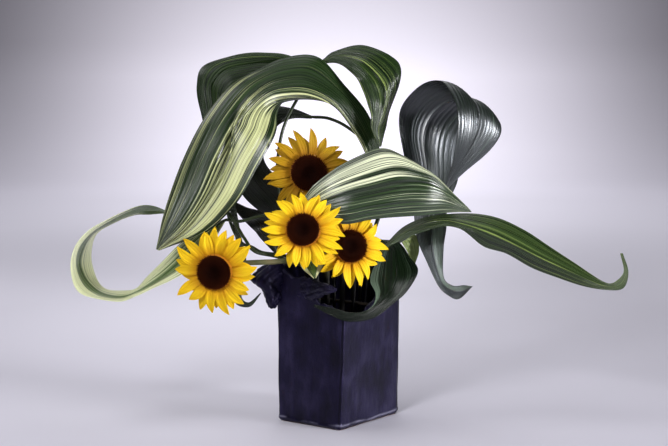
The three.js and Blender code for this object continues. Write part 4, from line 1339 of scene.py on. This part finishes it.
# %% [markdown]
# ## The vase
#
# The vase is four slabs of clay joined at their edges, glazed nearly black. Its rim was torn, not cut: it
# dips deeply at the front, and one flap hangs outside on the left. The wall is one surface: it goes up
# the outside, over the rounded rim and down the inside.
#
# Lengths are in millimetres. "flare" is how much wider the plan is at the top, as a part of itself, and
# "lean" is how far to the left the front corner's foot stands. Each pair of RIM is a distance round the
# vase and the height of the torn edge there.

# %% The vase's plan and rim
VASE = {
    "half_long": 72.2, "half_short": 59.9, "turn": radians(54.6), "height": 238, "wall": 7, "corner": 4.5,
    "flare": 0.017, "flap": 5, "lean": 6, "front_top": 168,
}
RIM = [
    (0, 232), (10, 227), (27, 218), (44, 219), (61, 217), (68, 193), (77, 184), (99, 181), (120, 166),
    (135, 163), (171, 166), (185, 177), (202, 183), (217, 200), (234, 219), (248, 234), (264, 238),
    (288, 232), (315, 237), (341, 230), (384, 238), (412, 233), (441, 239), (471, 231), (497, 236),
    (529, 232),
]
GROOVE_DEPTH = 1.9
print("torn rim, lowest and highest in mm:", min(z for _, z in RIM), max(z for _, z in RIM))


def from_vase_plan(long, short, z):
    """Turns the vase's own plan into the arrangement's X and Y.

    The front corner leans: its foot stands to the left, and takes the two walls that meet in it along.
    """
    c, s = np.cos(VASE["turn"]), np.sin(VASE["turn"])
    near_front = (1 - long / VASE["half_long"]) * (1 - short / VASE["half_short"]) / 4
    lean = VASE["lean"] * np.maximum(0, 1 - z / VASE["front_top"]) * near_front
    return np.stack(np.broadcast_arrays(c * long - s * short - lean, s * long + c * short, z), axis=-1)


def rim_height(distance):
    """The torn edge's height by the distance round it.

    It goes straight from each pair of RIM to the next, and three short sines are added as the small bites
    and bumps of torn clay.
    """
    places, heights = np.array(RIM).T
    bites = 0.5 * np.sin(distance / 3.1) + 0.4 * np.sin(distance / 1.7 + 2) + 0.6 * np.sin(distance / 7.3 + 1)
    return np.interp(distance, places, heights) + bites - 0.6


def vase_outline(inset, count=336):
    """Points round a rectangle with round corners, by equal steps of the full outline's length."""
    a, b, r = VASE["half_long"], VASE["half_short"], VASE["corner"]
    full = np.array([0, 2 * b, 2 * b + 2 * a, 4 * b + 2 * a, 4 * b + 4 * a])
    distance = np.linspace(0, full[-1], count, endpoint=False)
    corners = np.array([[-a, b], [-a, -b], [a, -b], [a, b], [-a, b]])
    long = np.interp(distance, full, corners[:, 0])
    short = np.interp(distance, full, corners[:, 1])
    keep = 1 - np.array([inset / a, inset / b])
    long, short = long * keep[0], short * keep[1]
    # near a corner the point slides onto a circle round the corner's own centre
    cx, cy = np.sign(long) * (a - inset - r), np.sign(short) * (b - inset - r)
    dx, dy = long - cx, short - cy
    inside = (np.abs(long) > np.abs(cx)) & (np.abs(short) > np.abs(cy))
    shrink = np.where(inside, r / np.maximum(np.hypot(dx, dy), 1e-9), 1)
    return cx + dx * shrink, cy + dy * shrink, distance


# %% [markdown]
# Clay that was joined and smoothed by hand isn't flat. Each mark of the hand is a formula of two numbers,
# how far round the vase a point is and how high, so the glaze can use the same formulas later.

# %% The marks of the hand
def roll_height(distance):
    """How high the roll of clay above the foot lies: 5.6 mm and two sines, so it wanders up and down."""
    return 5.6 + 0.8 * np.sin(distance / 19 + 0.7) + 0.6 * np.sin(distance / 8)


def joint_groove(distance, z):
    """1 in the groove beside each joint of two slabs, falling off as a bell curve; 0 at the foot."""
    joints = np.cumsum([0, VASE["half_short"], VASE["half_long"], VASE["half_short"]]) * 2
    wander = 0.7 * np.sin(z / 23) + 0.4 * np.sin(z / 9)
    beside = distance - joints[:, None] + 2.2 + wander
    return np.sum(np.exp(-((beside / 2.2) ** 2)), axis=0) * smooth_step(z, 1, 6)


def hand_work(distance, z):
    """How many mm the outside stands out from a plain slab.

    The clay is undercut at the foot and rolls out a little above it. It dips at the joints, and is uneven
    all over from the potter's hands.
    """
    roll = roll_height(distance)
    foot = 1.0 * np.exp(-(((z - roll) / 2.4) ** 2)) - 4.4 * (1 - smooth_step(z, -2, 4.5))
    uneven = 0.9 * np.sin(z / 47 + distance / 53) + 0.25 * np.sin(z / 19 + 1) * np.sin(distance / 23)
    return foot + uneven * smooth_step(z, 10, 60) - GROOVE_DEPTH * joint_groove(distance, z)


rolls = roll_height(np.arange(529))
print("roll of clay, lowest and highest in mm:", rolls.min().round(1), rolls.max().round(1))


# %% [markdown]
# The wall is a stack of rings. Each ring is the plan's outline, drawn in by how deep in the wall it lies,
# widened a little with its height, and moved by the marks of the hand. The rings lie close together at
# the foot and over the rim, where the form turns quickly.

# %% The wall in rings
def vase_wall(inset, level, base, sink=0.0, height=None):
    """A ring of the wall: level is 0 at the base and 1 at the torn rim, from which it may sink.

    With a height, the ring is level and lies at that height. The outline is multiplied by 1 plus the flare,
    times the height's part of the full height, and moved out by the hand work. That fades to nothing at
    the inner face.
    """
    long, short, distance = vase_outline(inset)
    z = base + (rim_height(distance) - sink - base) * level if height is None else np.full(len(long), height)
    worked = hand_work(distance, z) * (1 - inset / VASE["wall"])
    wide = (1 + VASE["flare"] * z / VASE["height"]) + worked / np.hypot(long, short)
    return from_vase_plan(long * wide, short * wide, z)


def vase_body():
    """Rings up the outside, over the rim in a half circle, and down the inside to the floor."""
    half = VASE["wall"] / 2
    foot = [vase_wall(0, 0, 0, height=z) for z in np.concatenate([[0, 0.4, 0.8], np.arange(1.2, 14, 0.6)])]
    outer = [vase_wall(0, level, 0, half) for level in np.linspace(0.088, 1, 130)]
    arc = np.linspace(0.2, 2.9, 10)
    over = [vase_wall(half - half * np.cos(a), 1, 0, half - half * np.sin(a)) for a in arc]
    inner = [vase_wall(VASE["wall"], level, VASE_FLOOR, half) for level in np.linspace(1, 0, 40)]
    return lofts(np.stack(foot + outer + over + inner)[None])


print("points in the wall:", len(vase_body()[0]))


# %% [markdown]
# ### Torn flaps
#
# Where the slab was torn, one flap of clay hangs outside on the left, and a tongue of it leans across the
# front of the mouth. Torn clay is crumpled and ragged. Sculpting would give that by hand; here sines of
# different lengths that cross each other fold and swell a smooth sheet, so the script can make it again.

# %% The torn flaps
LEFT_FLAP = [
    [[-99, -22, 236], [-86, -24, 239], [-78, -27, 227]],
    [[-116, -27, 229], [-99, -34, 229], [-83, -28, 217]],
    [[-130, -31, 213], [-108, -42, 211], [-85, -28, 203]],
    [[-115, -33, 200], [-102, -41, 195], [-86, -28, 189]],
    [[-107, -33, 185], [-99, -39, 181], [-87, -28, 180]],
    [[-104, -31, 172], [-99, -34, 170], [-94, -29, 171]],
]
FRONT_TONGUE = [
    [[-61, -39, 215], [-61, -41, 201], [-61, -42, 189]],
    [[-49, -52, 219], [-49, -53, 203], [-49, -51, 187]],
    [[-35, -66, 217], [-36, -67, 202], [-37, -63, 187]],
    [[-18, -91, 215], [-19, -90, 207], [-20, -86, 199]],
    [[-4, -108, 211], [-4, -107, 209], [-5, -105, 207]],
]


def clay_flap(stations):
    """A thick sheet through the stations, thinner at its torn edges.

    It is crumpled: sines that cross each other move its middle surface to and fro, and others make it
    thicker and thinner. Its free edges are ragged.
    """
    lines = catmull_rom(stations, 16)
    across = catmull_rom(lines.transpose(1, 0, 2), 24).transpose(1, 0, 2)
    rows, columns = across.shape[:2]
    u, v = np.linspace(0, 1, rows)[:, None], np.linspace(0, 1, columns)[None, :]
    rounded = (1 - np.abs(2 * v - 1) ** 6) ** 0.5 * (1 - np.abs(2 * u - 1) ** 10) ** 0.5
    folds = 1.1 * np.sin(11 * u + 7 * v + 1) * np.sin(5 * u - 12 * v)
    folds = folds + 0.6 * np.sin(31 * u + 9 * v) * np.cos(25 * v)
    lumps = 0.7 * np.sin(19 * u + 5 * v) * np.sin(17 * v + 2) + 0.4 * np.sin(43 * u) * np.sin(37 * v)
    ragged = (0.05 * np.sin(37 * u) + 0.03 * np.sin(83 * u + 1)) * (2 * v - 1) ** 4
    middle = across + grid_normals(across[None])[0] * (folds * rounded)[..., None]
    middle = middle + (across[:, :1] - across[:, -1:]) * ragged[..., None] / 2
    return sheets(middle[None], (VASE["flap"] * (0.25 + 0.75 * rounded) + lumps * rounded)[None])


print("points in each flap:", [len(clay_flap(flap)[0]) for flap in (LEFT_FLAP, FRONT_TONGUE)])


# %% [markdown]
# The wall and its flaps were fired as one piece, so they become one mesh. It carries two numbers for the
# glaze: how deep in a groove a point is, and how high on the roll of clay above the foot.

# %% The vase as one piece
def vase_piece():
    """The wall and both flaps as one piece, which carries where its grooves and its foot's roll are."""
    body = vase_body()
    points, faces = join_parts([body, clay_flap(LEFT_FLAP), clay_flap(FRONT_TONGUE)])
    height = body[0][:, 2]
    distance = np.resize(vase_outline(0)[2], len(height))
    roll = np.exp(-(((height - roll_height(distance) - 0.6) / 1.5) ** 2))
    outside = np.arange(len(height)) < len(height) * 0.75
    blank = np.zeros(len(points) - len(height))
    layers = {
        "groove": np.concatenate([joint_groove(distance, height) * outside, blank]),
        "roll": np.concatenate([roll * outside, blank]),
    }
    return build_mesh("slab_vase", points * MM, faces, layers)


# %% [markdown]
# ### Glaze
#
# Seen close, the glaze isn't one black. It is navy in upright streaks and patches, glossier where it is
# bluer. The grooves beside the joints are painted black, as painted shade, and stretches of the roll of clay
# above the foot are painted pale, as a painted highlight. The mesh itself says where its grooves and its roll
# are, so that colour and form agree. All else is noise in space.

# %% Glaze
def glaze_finish():
    """A near-black navy glaze: bluer streaks and patches, black pinholes, an uneven satin gloss.

    Stretches of the foot's roll are painted pale, as a painted highlight, and the grooves are painted black,
    as painted shade. The lowest half millimetre is bare brown clay, where the glaze was wiped off for the
    kiln.
    """
    material, tree, shader = new_material("navy glaze")
    position = piece_place(tree)
    patch = noise(tree, position, 22.0, 4.0)
    tall = put(tree, "Mapping", {"Vector": position, "Scale": (60.0, 60.0, 22.0)}).outputs[0]
    hand = noise(tree, tall, 1.0, 2.0)
    pores = noise(tree, position, 420.0, 2.0)
    tone = arithmetic(tree, "MULTIPLY_ADD", patch, 0.6, arithmetic(tree, "MULTIPLY", hand, 0.4))
    colour = ramp(tree, tone, [
        (0.36, (0.001, 0.001, 0.003)), (0.5, (0.005, 0.004, 0.017)), (0.64, (0.019, 0.016, 0.044))])
    pinholes = ramp(tree, pores, [(0.30, 0.0), (0.36, 1.0)])
    colour = blend_colours(tree, pinholes, (0.001, 0.001, 0.001), colour)
    # Painted shade: the grooves beside the joints are painted nearly black.
    colour = blend_colours(tree, layer_value(tree, "groove"), colour, (0.0005, 0.0005, 0.0008))
    # Painted highlight: stretches of the foot's roll are painted pale blue-grey, as a glint of light.
    stretches = ramp(tree, patch, [(0.42, 0.0), (0.56, 1.0)])
    thin = arithmetic(tree, "MULTIPLY", layer_value(tree, "roll"), stretches)
    colour = blend_colours(tree, thin, colour, (0.15, 0.145, 0.21))
    glazed = rescale(tree, height_above_foot(tree, position), 0.0004, 0.0007)
    colour = blend_colours(tree, glazed, (0.16, 0.08, 0.05), colour)
    gloss = rescale(tree, tone, 0.3, 0.7, 0.5, 0.26)
    height = arithmetic(tree, "MULTIPLY_ADD", pores, 0.25, hand)
    paint(tree, shader, colour, gloss, height, depth=0.0012)
    fill(tree, shader, {"Specular IOR Level": 0.3, "Specular Tint": (0.62, 0.56, 1.0, 1)})
    return material


dress(vase_piece(), "vase", glaze_finish())

# %% [markdown]
# ## Inside the vase
#
# A short twig is wedged across the mouth. This is the ikebana artist's trick to keep the stems where they
# should be. Below it is the water, whose CAD solid is already right, so it only gets its finish.

# %% The twig
CROSSBAR = {"along": 12.3, "height": 173, "radius": 2.6}


def twig_piece():
    """A straight bar whose radius wavers along and round it, like bark."""
    inside = VASE["half_short"] - VASE["wall"]
    reach = inside * (1 + VASE["flare"] * CROSSBAR["height"] / VASE["height"]) - 1
    short = np.linspace(-reach, reach, 60)
    line = from_vase_plan(CROSSBAR["along"], short, CROSSBAR["height"])
    rings = round_bar(line, np.full(60, CROSSBAR["radius"] - 0.1), 32)
    turn = full_turn(32)
    bark = 0.05 * np.sin(5 * turn + short[:, None] / 6) - 0.04 * np.sin(11 * turn - short[:, None] / 3)
    rings = line[:, None] + (rings - line[:, None]) * (1 + bark[..., None])
    points, faces = lofts(rings[None])
    return build_mesh("twig", points * MM, faces)


def bark_finish():
    """Brown bark with lengthwise streaks; its browns are made nearly black, as painted shade inside the vase.
    """
    material, tree, shader = new_material("bark")
    squeezed = put(tree, "Mapping", {
        "Vector": piece_place(tree), "Rotation": (0, 0, -VASE["turn"]), "Scale": (900.0, 120.0, 900.0)})
    streak = noise(tree, squeezed.outputs[0], 1.0, 3.0)
    # Painted shade: the bark's browns are so dark that the twig sinks into the vase's shade.
    brown = ramp(tree, streak, [(0.3, (0.008, 0.005, 0.003)), (0.7, (0.03, 0.018, 0.01))])
    paint(tree, shader, brown, 0.8, streak, depth=0.001)
    return material


dress(twig_piece(), "crossbar", bark_finish())


# %% [markdown]
# Water has no colour of its own to speak of. It is seen by what it reflects and by how it bends light, so
# its finish is clear glass with the refraction of water, 1.333, and a surface that swells a little.

# %% Water
def water_finish():
    """Clear water: it lets light through and bends it as water does."""
    material, tree, shader = new_material("water finish")
    swell = noise(tree, piece_place(tree), 30.0, 1.0)
    tint = ramp(tree, swell, [(0.3, (0.85, 0.92, 0.90)), (0.7, (0.90, 0.95, 0.93))])
    paint(tree, shader, tint, 0.03, swell, depth=0.0004)
    fill(tree, shader, {"IOR": 1.333, "Transmission Weight": 1.0})
    return material


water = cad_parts["water"]
water.data.materials.clear()
water.data.materials.append(water_finish())
print("water:", len(water.data.polygons), "faces")
